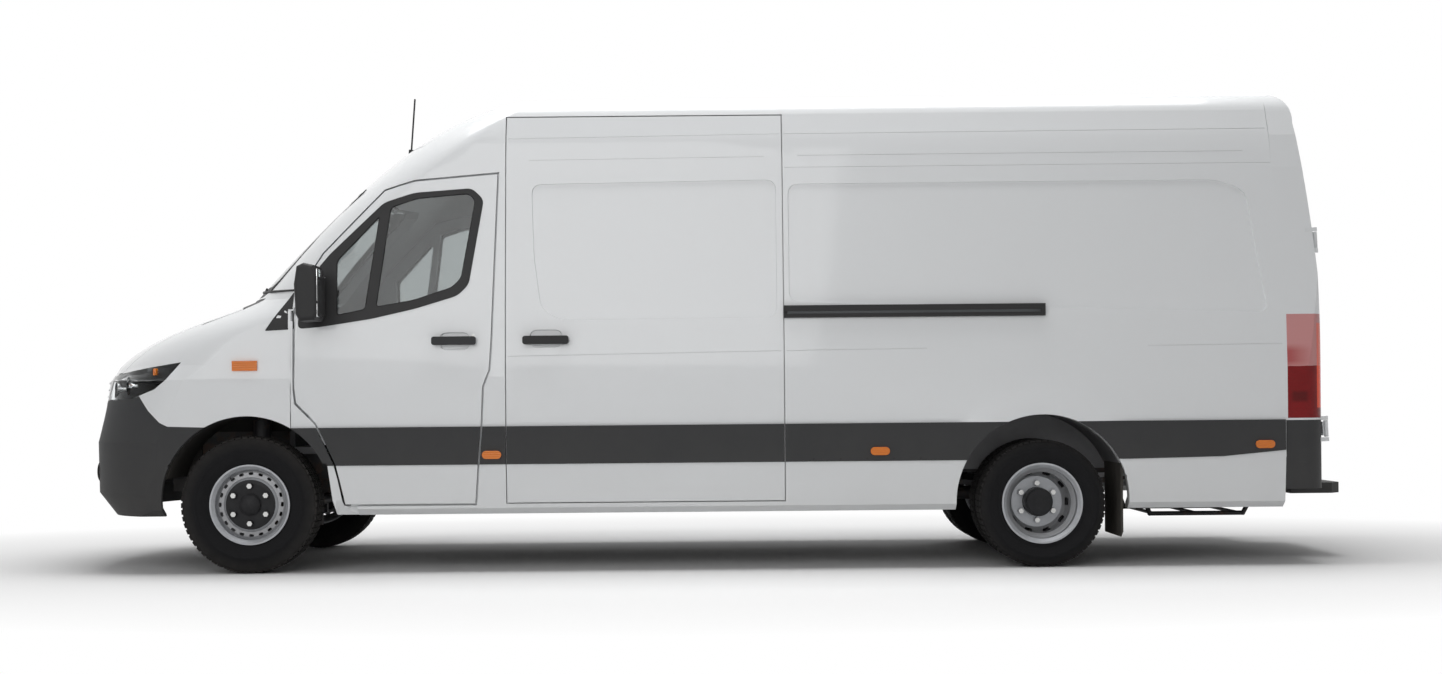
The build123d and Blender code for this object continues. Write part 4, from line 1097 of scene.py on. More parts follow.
@dataclass
class Tyre:
    """Road tyre with ribs and shoulder blocks, in place of its CAD solid."""

    node: str
    body: Body
    middles: Sequence[float]
    hub: tuple[float, float]
    radius: float
    width: float
    side: int
    groove: float = 0.008
    blocks: int = 62

    def profile(self) -> list[tuple[float, float]]:
        """Half outline mirrored to a full one, as (radius, outward).

        Returns:
            The closed outline.
        """
        half = self.width / 2
        base = self.radius - self.groove
        outer = [
            (0.2035, 0.062), (0.2120, 0.071), (0.2240, 0.0745), (0.2400, half - 0.026),
            (0.2700, half - 0.008), (0.2880, half - 0.0025), (0.2900, half - 0.0008),
            (0.2960, half - 0.0008), (0.2980, half - 0.0025), (0.3120, half - 0.0060),
            (base - 0.0160, half - 0.0150), (base - 0.0060, half - 0.0210),
        ]
        crown = [(base, half - 0.030), (base, half - 0.058), (base, 0.0)]
        inner = [(r, -w) for r, w in reversed(outer)]
        return outer + crown + [(r, -w) for r, w in reversed(crown[:-1])] + inner

    def tread_unit(self) -> bmesh.types.BMesh:
        """One pitch of tread: three ribs and two shoulder blocks, at radius 0 and pointing along +X.

        Returns:
            The mesh of one pitch.
        """
        unit = bmesh.new()
        half = self.width / 2
        pitch = 2 * math.pi * self.radius / self.blocks
        ribs = [(-0.016, 0.016, 0.90), (0.026, 0.054, 0.78), (-0.054, -0.026, 0.78),
                (0.062, half - 0.020, 0.70), (-half + 0.020, -0.062, 0.70)]
        for low, high, fill in ribs:
            run = pitch * fill / 2
            drop = 0.0035 if abs(low + high) > 0.12 else 0.0008
            block(unit, (-self.groove - 0.004, low, -run), (-drop, high, run), 0.0)
        return unit

    def build(self) -> None:
        """Make the tyre, or the pair of tyres on a twin wheel."""
        finish = Rubber(f"rubber_{self.node}", "tyre", TYRE_BLACK, hub=(self.hub[0], 0.0, self.hub[1]))
        centres = [(self.hub[0], self.side * middle, self.hub[1]) for middle in self.middles]
        work = bmesh.new()
        for centre in centres:
            revolve(work, self.profile(), centre, self.side, segments=80)
        bmesh.ops.recalc_face_normals(work, faces=work.faces)
        for index, centre in enumerate(centres):
            work.from_mesh(REPEATS.ring(self.tread_unit(), finish, self.blocks, self.radius - 0.0006, centre,
                                        index * 0.03))
        piece = add_piece(f"tyre_{self.node}", work, self.body, finish, angle=28.0, outward=False)
        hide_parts(self.node)


@dataclass
class WheelDress:
    """Small parts on a wheel: valve, nut faces and the black centre."""

    body: Body
    node: str
    hub: tuple[float, float]
    face: float
    side: int
    front: bool
    nut_circle: float = 0.1025
    valve_angle: float = 2.2

    def build(self) -> None:
        """Dress the CAD wheel and add its small parts."""
        x, z = self.hub
        cover_radius, cap_radius, valve_depth = (0.1365, 0.0, 0.028) if self.front else (0.0, 0.080, 0.030)
        dress(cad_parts[self.node], WheelPaint(f"wheel_paint_{self.node}", "wheel_silver", SILVER,
                                                    hub=(x, 0.0, z), cover_radius=cover_radius,
                                                    cap_radius=cap_radius))
        unit = bmesh.new()
        bmesh.ops.create_cone(unit, cap_ends=True, segments=6, radius1=0.0155, radius2=0.0150, depth=0.006,
                              matrix=Matrix.Rotation(math.pi / 2, 4, "X"))
        mesh = REPEATS.ring(unit, ZINC, 6, self.nut_circle, (x, self.side * self.face, z), math.pi / 6)
        place_mesh(f"nut_faces_{self.node}", mesh, self.body, ZINC)
        work = bmesh.new()
        across, up = math.cos(self.valve_angle), math.sin(self.valve_angle)
        y = self.side * (self.face - valve_depth)
        tube(work, [(x + 0.183 * across, y, z + 0.183 * up),
                    (x + 0.176 * across, y + self.side * 0.026, z + 0.176 * up)], 0.0042, 10)
        add_piece(f"valve_{self.node}", work, self.body, BLACK)


@dataclass
class Pressing:
    """A body panel with its pressed recesses, cut in a copy of the CAD node that it replaces."""

    node: str
    body: Body
    finish: Finish = PAINT
    cutters: list[bmesh.types.BMesh] = field(default_factory=list)

    def _keep(self, cutter: bmesh.types.BMesh) -> None:
        """Add a finished cutter."""
        bmesh.ops.recalc_face_normals(cutter, faces=cutter.faces)
        self.cutters.append(cutter)

    def side_recess(self, outline: Outline, depth: float, side: int, radius: float, bevel: float = 0.004
                    ) -> None:
        """Add a recess in a panel of the body side.

        Args:
            outline: its edge in the side view.
            depth: how deep it is.
            side: LEFT or RIGHT.
            radius: corner radius.
            bevel: how far its wall slopes.
        """
        surface = Surface([self.node])
        outer = round_corners(outline, radius)
        middle = Vector((sum(p[0] for p in outer) / len(outer), sum(p[1] for p in outer) / len(outer)))
        rows: list[list[bmesh.types.BMVert]] = []
        work = bmesh.new()
        for proud, spread in ((0.030, bevel * 2.0), (-depth, -bevel * 2.0)):
            row = []
            for x, z in outer:
                y = surface.side_y(x, z, side)
                away = (Vector((x, z)) - middle).normalized() * spread
                row.append(work.verts.new((x + away.x, y + side * proud, z + away.y)))
            rows.append(row)
        bridge(work, rows[0], rows[1])
        for row in rows:
            ring = set(row)
            bmesh.ops.triangle_fill(work, edges=[e for e in work.edges if all(v in ring for v in e.verts)])
        self._keep(work)

    def side_groove(self, line: Outline, width: float, depth: float, side: int, step: float = 0.12) -> None:
        """Add a narrow groove along a line on the body side.

        Args:
            line: two ends in the side view.
            width: how wide it is.
            depth: how deep it is.
            side: LEFT or RIGHT.
            step: spacing of its sections.
        """
        surface = Surface([self.node])
        (x_from, z_from), (x_to, z_to) = line
        count = max(2, int(abs(x_to - x_from) / step))
        section = ((0.02, -width), (0.02, width), (-depth, width * 0.2), (-depth, -width * 0.2))
        work = bmesh.new()
        rings = []
        for k in range(count + 1):
            t = k / count
            x, z = x_from + (x_to - x_from) * t, z_from + (z_to - z_from) * t
            y = surface.side_y(x, z, side)
            rings.append([work.verts.new((x, y + side * out, z + up)) for out, up in section])
        for here, there in zip(rings, rings[1:]):
            bridge(work, here, there)
        work.faces.new(rings[0])
        work.faces.new(list(reversed(rings[-1])))
        self._keep(work)

    def groove(self, low: Point, high: Point) -> None:
        """Add a straight groove as a box between two corners.

        Args:
            low: corner with the lowest values.
            high: corner with the highest values.
        """
        work = bmesh.new()
        block(work, low, high)
        self._keep(work)

    def build(self) -> None:
        """Cut the recesses and put the panel in its node's place."""
        name = f"panel_{self.node}"
        panel = link_object(name, into_mesh(name, cad_copy(self.node)))
        tools = [link_object("tool", into_mesh("tool", cutter)) for cutter in self.cutters]
        for tool in tools:
            modifier = panel.modifiers.new("press", "BOOLEAN")
            modifier.operation = "DIFFERENCE"
            modifier.solver = "EXACT"
            modifier.object = tool
        bpy.context.view_layer.update()
        result = bpy.data.meshes.new_from_object(panel.evaluated_get(bpy.context.evaluated_depsgraph_get()))
        panel.modifiers.clear()
        for thing in (*tools, panel):
            bpy.data.objects.remove(thing)
        piece = place_mesh(name, result, self.body, self.finish, angle=24.0)
        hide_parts(self.node)


# Side-view outlines, millimetres behind the front axle and up
WINDOW_FRAME = [(1228, 2096), (1293, 2033), (1212, 1565), (1151, 1505), (921, 1436), (680, 1382), (408, 1341),
                (284, 1331), (292, 1552), (444, 1738), (744, 2022), (916, 2074)]
CORNER_TRIM = [(104, 1322), (252, 1538), (257, 1330)]
WINDOW_GLASS = [(706, 1446), (784, 1996), (930, 2044), (1212, 2068), (1248, 2030), (1172, 1600), (1122, 1550),
                (915, 1482)]
QUARTER_GLASS = [(492, 1402), (492, 1702), (726, 1950), (650, 1434)]
SLIDE_RECESS = [(1549, 2118), (2895, 2132), (2895, 1372), (1709, 1362), (1601, 1423), (1560, 1720)]
FRONT_LOAD_RECESS = [(1449, 2116), (2895, 2132), (2895, 1372), (1449, 1372)]
LOAD_RECESS = [(2950, 2105), (5300, 2112), (5463, 2050), (5500, 1800), (5560, 1400), (5530, 1378),
               (2950, 1455)]
SLIDE_CREASES = [(((1425, 2369), (2912, 2384)), 0.006), (((1540, 2247), (2826, 2257)), 0.005),
                 (((1425, 1172), (2912, 1190)), 0.006)]
LOAD_CREASES = [(((2935, 2196), (5600, 2200)), 0.0035), (((2935, 2384), (5580, 2392)), 0.006),
                (((3010, 2262), (5450, 2266)), 0.005), (((2935, 1190), (3700, 1196)), 0.006),
                (((4900, 1200), (5630, 1205)), 0.006)]
SLIDE_HANDLE_BOWL = [(1540, 1318), (1726, 1318), (1726, 1216), (1540, 1216)]
DOOR_HANDLE_BOWL = [(1050, 1308), (1222, 1308), (1222, 1206), (1050, 1206)]
MIRROR_CAP = [(326, 1420), (326, 1560), (342, 1648), (368, 1658), (368, 1420)]
FENDER_TAIL = flat([
    (243, 1375), (255, 1375), (256, 1005), (264, 922), (373, 813), (472, 600), (495, 508), (523, 368),
    (600, 368), (600, 318), (484, 318), (466, 395), (440, 600), (417, 600), (389, 650), (350, 700),
    (301, 750), (242, 792),
])

RECESS_DEPTH, RECESS_CORNER = 0.007, 0.06
HANDLE_DEPTH, HANDLE_CORNER = 0.012, 0.045


@dataclass
class BodySide:
    """Pressed panels and black trim of one side of the van."""

    side: int
    strip_span: tuple[int, int] = (2945, 4322)
    strip_heights: tuple[float, float] = (1.389, 1.418)
    lock_x: int = 1236
    lock_z: float = 1.285
    screws: int = 5
    screw_pitch: float = 0.145

    @property
    def word(self) -> str:
        """Name of the side."""
        return "left" if self.side == LEFT else "right"

    @property
    def door(self) -> Body:
        """Body of this side's front door."""
        return Body.DOOR_LEFT if self.side == LEFT else Body.DOOR_RIGHT

    def fender_tail(self) -> None:
        """Painted tail of the front fender between the wheel arch and the door."""
        surface = TailSurface([f"door_{self.word}", f"fender_{self.word}", "cab_frame"])
        work = bmesh.new()
        slab_on_side(work, [FENDER_TAIL], surface, 0.0, 0.004, self.side)
        add_piece(f"fender_tail_{self.word}", work, Body.SHELL, PAINT)

    def rail_strip(self) -> None:
        """Grey running strip along the sliding door's rail."""
        work = bmesh.new()
        y = Surface(["slide_rail"]).side_y(along(3600), 1.403, self.side)
        (start, end), (low, high) = self.strip_span, self.strip_heights
        block(work, (along(start), y - 0.0015, low), (along(end), y + 0.002, high), 0.0008)
        add_piece("rail_strip", work, Body.SHELL, STRIP)

    def load_panels(self) -> None:
        """Press the window-like recesses into the load side and the sliding door."""
        wall = Pressing(f"side_{self.word}", Body.SHELL)
        wall.side_recess(flat(LOAD_RECESS), RECESS_DEPTH, self.side, RECESS_CORNER)
        for line, width in LOAD_CREASES:
            wall.side_groove(flat(line), width, 0.0035, self.side)
        if self.side == LEFT:
            slide = Pressing("sliding_door", Body.SHELL)
            slide.side_recess(flat(SLIDE_RECESS), RECESS_DEPTH, LEFT, RECESS_CORNER)
            for line, width in SLIDE_CREASES:
                slide.side_groove(flat(line), width, 0.003, LEFT)
            slide.side_recess(flat(SLIDE_HANDLE_BOWL), HANDLE_DEPTH, LEFT, HANDLE_CORNER)
            slide.build()
        else:
            wall.side_recess(flat(FRONT_LOAD_RECESS), RECESS_DEPTH, RIGHT, RECESS_CORNER)
        wall.build()

    def front_door(self) -> None:
        """Press the handle's bowl into the door."""
        door = Pressing(f"door_{self.word}", self.door)
        door.side_recess(flat(DOOR_HANDLE_BOWL), HANDLE_DEPTH, self.side, HANDLE_CORNER)
        door.build()

    def window_frame(self) -> None:
        """Black surround of the door's two panes, with its division bar."""
        surface = GlazedSurface([f"door_{self.word}"], [f"door_glass_{self.word}"])
        work = bmesh.new()
        loops = [round_corners(flat(WINDOW_FRAME), 0.03), round_corners(flat(WINDOW_GLASS), 0.025),
                 round_corners(flat(QUARTER_GLASS), 0.02)]
        slab_on_side(work, loops, surface, 0.0022, 0.006, self.side, 0.03)
        add_piece(f"window_frame_{self.word}", work, self.door, BLACK)
        corner = bmesh.new()
        fixed = Surface([f"fender_{self.word}", "cab_frame", "cowl"])
        slab_on_side(corner, [round_corners(flat(CORNER_TRIM), 0.012)], fixed, 0.0022, 0.004, self.side, 0.03)
        add_piece(f"corner_trim_{self.word}", corner, Body.SHELL, BLACK)

    def window_seals(self) -> None:
        """Rubber lines round both panes."""
        surface = GlazedSurface([f"door_{self.word}"], [f"door_glass_{self.word}"])
        work = bmesh.new()
        for outline in (WINDOW_GLASS, QUARTER_GLASS):
            path = [(x, surface.side_y(x, z, self.side) - self.side * 0.002, z)
                    for x, z in round_corners(flat(outline), 0.025)]
            tube(work, path, 0.0045, 8, closed=True)
        add_piece(f"window_seals_{self.word}", work, self.door, SEAL)

    def mirror_face(self) -> None:
        """Two mirror glasses, one over the other, on the back of the mirror's housing."""
        low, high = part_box(f"mirror_{self.word}")
        outer = low.y if self.side == LEFT else high.y
        inner = outer - self.side * 0.170
        rim = outer - self.side * 0.012
        work = bmesh.new()
        for z_low, z_high in ((1.470, 1.640), (1.385, 1.455)):
            block(work, (high.x - 0.0045, min(rim, inner), z_low), (high.x - 0.0005, max(rim, inner), z_high),
                  0.0012)
        glass = Metal("mirror_glass", "glass", (0.85, 0.87, 0.88), rough=0.02, metallic=1.0, depth=0.00001)
        add_piece(f"mirror_face_{self.word}", work, self.door, glass)

    def mirror_cap(self) -> None:
        """Painted strip on the outer face of the mirror's housing."""
        surface = Surface([f"mirror_{self.word}"])
        work = fill_outline([round_corners(flat(MIRROR_CAP), 0.012)])
        for vert in work.verts:
            vert.co.y = surface.side_y(vert.co.x, vert.co.z, self.side) - self.side * 0.0004
        for item in bmesh.ops.extrude_face_region(work, geom=work.faces[:])["geom"]:
            if isinstance(item, bmesh.types.BMVert):
                item.co.y -= self.side * 0.001
        add_piece(f"mirror_cap_{self.word}", work, self.door, PAINT)

    def door_lock(self) -> None:
        """Key cylinder beside the handle."""
        surface = Surface([f"door_{self.word}"])
        work = bmesh.new()
        x, z = along(self.lock_x), self.lock_z
        y = surface.side_y(x, z, self.side)
        revolve(work, [(0.0, 0.0022), (0.004, 0.0022), (0.0042, 0.0012), (0.0095, 0.0012), (0.0105, 0.0),
                       (0.0105, -0.004), (0.0, -0.004)], (x, y, z), self.side, 28, closed=False)
        add_piece(f"door_lock_{self.word}", work, self.door, ZINC)

    def cladding_screws(self) -> None:
        """Screw heads along the lower cladding."""
        unit = bmesh.new()
        bmesh.ops.create_cone(unit, cap_ends=True, segments=14, radius1=0.0062, radius2=0.0050, depth=0.002,
                              matrix=Matrix.Rotation(-self.side * math.pi / 2, 4, "X"))
        mesh = REPEATS.line(unit, BLACK, self.screws, (along(3080), self.side * 1.0116, 0.600),
                            (self.screw_pitch, 0, 0))
        place_mesh(f"cladding_screws_{self.word}", mesh, Body.SHELL, BLACK)

    def build(self) -> None:
        """Make everything on this side."""
        self.load_panels()
        if self.side == LEFT:
            self.rail_strip()
        self.fender_tail()
        self.front_door()
        self.window_frame()
        self.window_seals()
        self.mirror_face()
        self.mirror_cap()
        self.door_lock()
        self.cladding_screws()


@dataclass
class Screen:
    """Windscreen's black edge, seal and wipers."""

    nodes: tuple[str, ...] = ("windscreen", "cowl", "cab_frame", "bonnet")
    edge_outer: Places = ((0.0, 2.118), (0.612, 2.118), (0.646, 2.092), (0.732, 1.562), (0.700, 1.524),
                          (0.0, 1.524))
    edge_inner: Places = ((0.0, 2.060), (0.570, 2.060), (0.590, 2.040), (0.672, 1.620), (0.640, 1.585),
                          (0.0, 1.585))
    edge_steps: int = 14
    moulding: Places = ((0.748, 1.545), (0.700, 1.810), (0.652, 2.100), (0.620, 2.124))
    wiper_ends: Places = ((0.60, 0.02), (-0.06, -0.62))

    def on_glass(self, surface: Surface, y: float, z: float, proud: float) -> Point:
        """Point in front of the screen at a height."""
        place = surface.from_front(y, z)
        return ((place.x if place else along(0)) - proud, y, z)

    def edge(self) -> None:
        """Dark ceramic edge inside the glass, all round."""
        surface = Surface(["windscreen"])
        low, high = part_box("windscreen")
        outer, inner, steps = self.edge_outer, self.edge_inner, self.edge_steps
        work = bmesh.new()
        for side in (1, -1):
            for lines in zip(zip(outer, outer[1:]), zip(inner, inner[1:])):
                made = []
                for k in range(steps + 1):
                    pair = []
                    for (y_from, z_from), (y_to, z_to) in lines:
                        y = (y_from + (y_to - y_from) * k / steps) * side
                        z = min(max(z_from + (z_to - z_from) * k / steps, low.z + 0.004), high.z - 0.004)
                        pair.append(work.verts.new(self.on_glass(surface, y, z, 0.0004)))
                    made.append(pair)
                for here, there in zip(made, made[1:]):
                    work.faces.new((here[0], there[0], there[1], here[1]))
        bmesh.ops.remove_doubles(work, verts=work.verts, dist=0.0004)
        bmesh.ops.recalc_face_normals(work, faces=work.faces)
        bmesh.ops.solidify(work, geom=work.faces[:], thickness=0.0006)
        add_piece("screen_edge", work, Body.SHELL, BLACK)

    def wipers(self) -> None:
        """Two arms and blades, parked low across the screen."""
        surface = Surface(self.nodes)
        work = bmesh.new()
        for pivot, tip in self.wiper_ends:
            base = self.on_glass(surface, pivot, 1.505, 0.010)
            end = self.on_glass(surface, tip, 1.572, 0.016)
            middle = [base[i] * 0.5 + end[i] * 0.5 for i in range(3)]
            middle[0] -= 0.004
            tube(work, [base, (middle[0], middle[1], middle[2]), end], 0.0065, 8)
            tube(work, [(base[0] + 0.02, base[1], base[2] - 0.02), base], 0.013, 14)
            reach = []
            for k in range(13):
                y = tip + 0.30 - 0.60 * k / 12 + (0.12 if pivot > 0 else 0.0)
                reach.append(self.on_glass(surface, y, 1.556 + 0.010 * math.cos(k / 12 * math.pi), 0.008))
            tube(work, reach, 0.006, 6)
        add_piece("wipers", work, Body.SHELL, BLACK)

    def seal(self) -> None:
        """Rubber moulding along the screen's sides and head."""
        surface = Surface(["windscreen", "cab_frame", "roof"])
        path = []
        for side in (1, -1):
            points = self.moulding if side == 1 else self.moulding[::-1]
            path += [self.on_glass(surface, y * side, z, -0.001) for y, z in points]
        work = bmesh.new()
        tube(work, path, 0.006, 8)
        add_piece("screen_moulding", work, Body.SHELL, SEAL)

    def build(self) -> None:
        """Make everything on the screen."""
        self.edge()
        self.wipers()
        self.seal()


@dataclass
class Front:
    """Headlamp insides, grille bars, fog lamps and bumper details."""

    bowls: tuple[Point, ...] = ((0.700, 1.015, 0.052), (0.830, 1.030, 0.050))
    bowl_depth: float = 0.055
    turn_lamp_y: float = 0.90
    grille_slats: int = 6
    fog_y: float = 0.64
    fog_z: float = 0.555
    fog_radius: float = 0.048
    intake_heights: tuple[float, ...] = (0.475, 0.505, 0.535, 0.565)

    def bowl(self, work: bmesh.types.BMesh, x: float, y: float, z: float, radius: float) -> None:
        """Hollow reflector that opens forward from its hub.

        Args:
            work: mesh to add to.
            x: frame X of its rim.
            y: frame Y of its middle.
            z: height of its middle.
            radius: radius of its rim.
        """
        depth, rows = self.bowl_depth, 8
        rings = []
        for k in range(1, rows + 1):
            t = k / rows
            rings.append([work.verts.new((x + depth * (1 - t) ** 2, y + radius * t * math.cos(a),
                                          z + radius * t * math.sin(a))) for a in turn_angles(28)])
        hub = work.verts.new((x + depth, y, z))
        for first, second in zip(rings[0], rings[0][1:] + rings[0][:1]):
            work.faces.new((hub, second, first))
        for here, there in zip(rings, rings[1:]):
            bridge(work, here, there)

    def reflectors(self) -> None:
        """Two bowls behind each lens with a bulb shield and an amber lamp."""
        surface = Surface(["headlamps"])
        bowls, bulbs, amber = bmesh.new(), bmesh.new(), bmesh.new()
        for side in (LEFT, RIGHT):
            for across, z, radius in self.bowls:
                y = side * across
                x = surface.from_front(y, z).x + 0.030
                self.bowl(bowls, x, y, z, radius)
                tube(bulbs, [(x + 0.052, y, z), (x + 0.012, y, z)], 0.009, 14)
            y = side * self.turn_lamp_y
            x = surface.from_front(y, 1.10).x
            block(amber, (x + 0.030, y - 0.03, 1.085), (x + 0.050, y + 0.03, 1.125), 0.006)
        add_piece("lamp_bowls", bowls, Body.SHELL, REFLECTOR, outward=False)
        add_piece("lamp_bulbs", bulbs, Body.SHELL, ZINC)
        add_piece("turn_lamps", amber, Body.SHELL, AMBER_LENS)

    def bars(self, surface: Surface, heights: Iterable[float], half: float, count: int, proud: float,
             radius: float) -> bmesh.types.BMesh:
        """Level bars that follow a surface of the nose.

        Args:
            surface: what they lie on.
            heights: one height for each bar.
            half: half of a bar's length.
            count: points along a bar.
            proud: how far a bar's middle line stands out.
            radius: bar radius.

        Returns:
            The bars' mesh.
        """
        work = bmesh.new()
        for z in heights:
            places = [(surface.from_front(y, z), y) for y in even(-half, half, count)]
            tube(work, [(place.x - proud, y, z) for place, y in places if place], radius, 8)
        return work

    def grille_bars(self) -> None:
        """Slats across the grille opening."""
        low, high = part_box("grille")
        heights = even(low.z + 0.045, high.z - 0.045, self.grille_slats)
        work = self.bars(Surface(["grille"]), heights, 0.44, 15, 0.0005, 0.0065)
        add_piece("grille_bars", work, Body.SHELL, PAINT)

    def fog_lamps(self) -> None:
        """Round lamps in the bumper's corners."""
        surface = Surface(["front_bumper"])
        z = self.fog_z
        lens, rim = bmesh.new(), bmesh.new()
        for y in (LEFT * self.fog_y, RIGHT * self.fog_y):
            x = surface.from_front(y, z).x
            turn = Matrix.Translation((x + 0.016, y, z)) @ Matrix.Rotation(math.pi / 2, 4, "Y")
            bmesh.ops.create_uvsphere(lens, u_segments=32, v_segments=16, radius=self.fog_radius,
                                      matrix=turn @ Matrix.Diagonal((1, 1, 0.22, 1)))
            ring = [(x + 0.011, y + 0.053 * math.cos(a), z + 0.053 * math.sin(a)) for a in turn_angles(36)]
            tube(rim, ring, 0.005, 8, closed=True)
        add_piece("fog_lamps", lens, Body.SHELL, LENS)
        add_piece("fog_lamp_rims", rim, Body.SHELL, BLACK)

    def intake_slats(self) -> None:
        """Air intake slats low in the bumper's middle."""
        work = self.bars(Surface(["front_bumper"]), self.intake_heights, 0.42, 13, -0.0068, 0.007)
        add_piece("intake_slats", work, Body.SHELL, BLACK)

    def build(self) -> None:
        """Make everything on the nose."""
        self.reflectors()
        self.grille_bars()
        self.fog_lamps()
        self.intake_slats()


@dataclass
class Seat:
    """One seat's cushion, back and headrests as padded pieces."""

    name: str
    low_y: float
    high_y: float
    heads: int

    def pad(self, name: str, centre: Point, size: Point, lean: float, crown: float, finish: Finish) -> None:
        """Crowned pad whose sides pull in between its corners.

        Args:
            name: the piece's name.
            centre: its middle.
            size: length, width and thickness before it leans.
            lean: turn about the cross axis in degrees.
            crown: how far its faces stand up in the middle.
            finish: its cloth.
        """
        work = bmesh.new()
        for vert in bmesh.ops.create_grid(work, x_segments=16, y_segments=16, size=0.5)["verts"]:
            vert.co.z = -0.5
        for item in bmesh.ops.extrude_face_region(work, geom=work.faces[:])["geom"]:
            if isinstance(item, bmesh.types.BMVert):
                item.co.z = 0.5
        for vert in work.verts:
            u, v = vert.co.x * 2, vert.co.y * 2
            edge = (1 - abs(u) ** 6) * (1 - abs(v) ** 6)
            pull_u = 1 - 0.025 * (1 - v * v) * (1 if abs(u) > 0.9 else 0)
            pull_v = 1 - 0.02 * (1 - u * u) * (1 if abs(v) > 0.9 else 0)
            channel = 0.006 * math.exp(-((abs(v) - 0.62) / 0.05) ** 2)
            thick = size[2] / 2 * (0.62 + 0.38 * edge) + crown * edge - channel * (1 if vert.co.z > 0 else 0)
            vert.co = Vector((u / 2 * size[0] * pull_u, v / 2 * size[1] * pull_v,
                              thick * (1 if vert.co.z > 0 else -1)))
        turn = Matrix.Translation(centre) @ Matrix.Rotation(math.radians(lean), 4, "Y")
        bmesh.ops.transform(work, matrix=turn, verts=work.verts)
        piece = add_piece(name, work, Body.SHELL, finish, angle=60.0)
        subdivision = piece.modifiers.new("soft", "SUBSURF")
        subdivision.levels = subdivision.render_levels = 1

    def build(self) -> None:
        """Make this seat's pads."""
        middle, width = (self.low_y + self.high_y) / 2, self.high_y - self.low_y
        self.pad(f"cushion_{self.name}", (along(1050), middle, 1.022), (0.47, width - 0.02, 0.085), 2.0,
                 0.012, CLOTH)
        self.pad(f"backrest_{self.name}", (along(1362), middle, 1.395), (0.59, width - 0.03, 0.080), -81.5,
                 0.010, CLOTH_PALE)
        for index in range(self.heads):
            y = middle + (index - (self.heads - 1) / 2) * width / self.heads
            self.pad(f"headrest_{self.name}_{index + 1}", (along(1420), y, 1.822), (0.15, 0.225, 0.060),
                     -82.0, 0.006, CLOTH)


@dataclass
class Cab:
    """Seats, dashboard details and steering wheel pad."""

    wheel_y: float = 0.425
    vents_y: tuple[float, ...] = (-0.78, -0.12, 0.12, 0.78)
    dials: Places = ((0.365, 0.048), (0.485, 0.048), (0.425, 0.026))
    dial_z: float = 1.345
    knob_z: float = 1.21
    stems_y: tuple[float, ...] = (0.425, -0.55, -0.11)

    def seats(self) -> None:
        """Driver's seat and the double bench, in place of their solid."""
        Seat("driver", 0.185, 0.665, 1).build()
        Seat("bench", -0.770, 0.110, 2).build()
        stems = bmesh.new()
        for y in self.stems_y:
            for shift in (-0.045, 0.045):
                tube(stems, [(along(1398), y + shift, 1.665), (along(1412), y + shift, 1.790)], 0.006, 10)
        posts = add_piece("headrest_posts", stems, Body.SHELL, ZINC)
        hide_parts("seats")

    def dash_details(self) -> None:
        """Vents, instruments, controls and shelf lip on the dashboard."""
        vents, dials, lip = bmesh.new(), bmesh.new(), bmesh.new()
        surface = Surface(["dashboard"])
        for y in self.vents_y:
            x = surface.from_seats(y, 1.270).x
            for k in range(5):
                z = 1.245 + 0.012 * k
                block(vents, (x - 0.001, y - 0.06, z), (x + 0.004, y + 0.06, z + 0.005), 0.001, 1)
            block(vents, (x - 0.002, y - 0.066, 1.236), (x + 0.002, y + 0.066, 1.306), 0.002)
        z = self.dial_z
        for y, radius in self.dials:
            x = surface.from_seats(y, z).x + 0.001
            ring = [(x, y + radius * math.cos(a), z + radius * 0.9 * math.sin(a)) for a in turn_angles(32)]
            tube(dials, ring, 0.0025, 6, closed=True)
        for y in (-0.04, 0.04):
            x = surface.from_seats(y, self.knob_z).x
            tube(dials, [(x - 0.002, y, self.knob_z), (x + 0.016, y, self.knob_z)], 0.014, 20)
        tube(lip, [(along(560) + 0.002, y, 1.300) for y in even(-0.84, 0.84, 21)], 0.004, 8)
        add_piece("dash_vents", vents, Body.SHELL, BLACK)
        add_piece("dash_dials", dials, Body.SHELL, ZINC)
        add_piece("dash_lip", lip, Body.SHELL, BLACK)

    def wheel_pad(self) -> None:
        """Centre pad of the steering wheel."""
        work = bmesh.new()
        turn = (Matrix.Translation((along(690), self.wheel_y, 1.300))
                @ Matrix.Rotation(math.radians(45), 4, "Y"))
        made = bmesh.ops.create_uvsphere(work, u_segments=28, v_segments=14, radius=0.075)["verts"]
        for vert in made:
            vert.co.z = vert.co.z * 0.35 + 0.020
            vert.co.y *= 1.1
        bmesh.ops.transform(work, matrix=turn, verts=made)
        add_piece("wheel_pad", work, Body.SHELL, BLACK)

    def build(self) -> None:
        """Make everything in the cab."""
        self.seats()
        self.dash_details()
        self.wheel_pad()


@dataclass
class LoadSpace:
    """Grip strips on the load deck and wall rails."""

    strips: int = 15
    strip_pitch: float = 0.062
    strip_half: float = 2.03
    first_strip_y: float = -0.434
    deck_top: float = 0.6915
    rail_y: float = 0.925
    rail_heights: tuple[float, float] = (1.20, 1.23)
    rail_end: int = 5500

    def floor_ribs(self) -> None:
        """Grip strips along the load deck."""
        unit = bmesh.new()
        block(unit, (-self.strip_half, -0.013, 0.0), (self.strip_half, 0.013, 0.005), 0.0022, 2)
        mesh = REPEATS.line(unit, GRIP, self.strips, (along(3570), self.first_strip_y, self.deck_top),
                            (0, self.strip_pitch, 0))
        place_mesh("floor_ribs", mesh, Body.SHELL, GRIP)

    def lash_rails(self) -> None:
        """Lashing rails along both walls, the left one behind the sliding door."""
        work = bmesh.new()
        for side, start in ((LEFT, 3000), (RIGHT, 1500)):
            y = side * self.rail_y
            low, high = self.rail_heights
            block(work, (along(start), y - 0.012, low), (along(self.rail_end), y + 0.012, high), 0.003)
        add_piece("lash_rails", work, Body.SHELL, ZINC)

    def build(self) -> None:
        """Make everything in the load space."""
        self.floor_ribs()
        self.lash_rails()


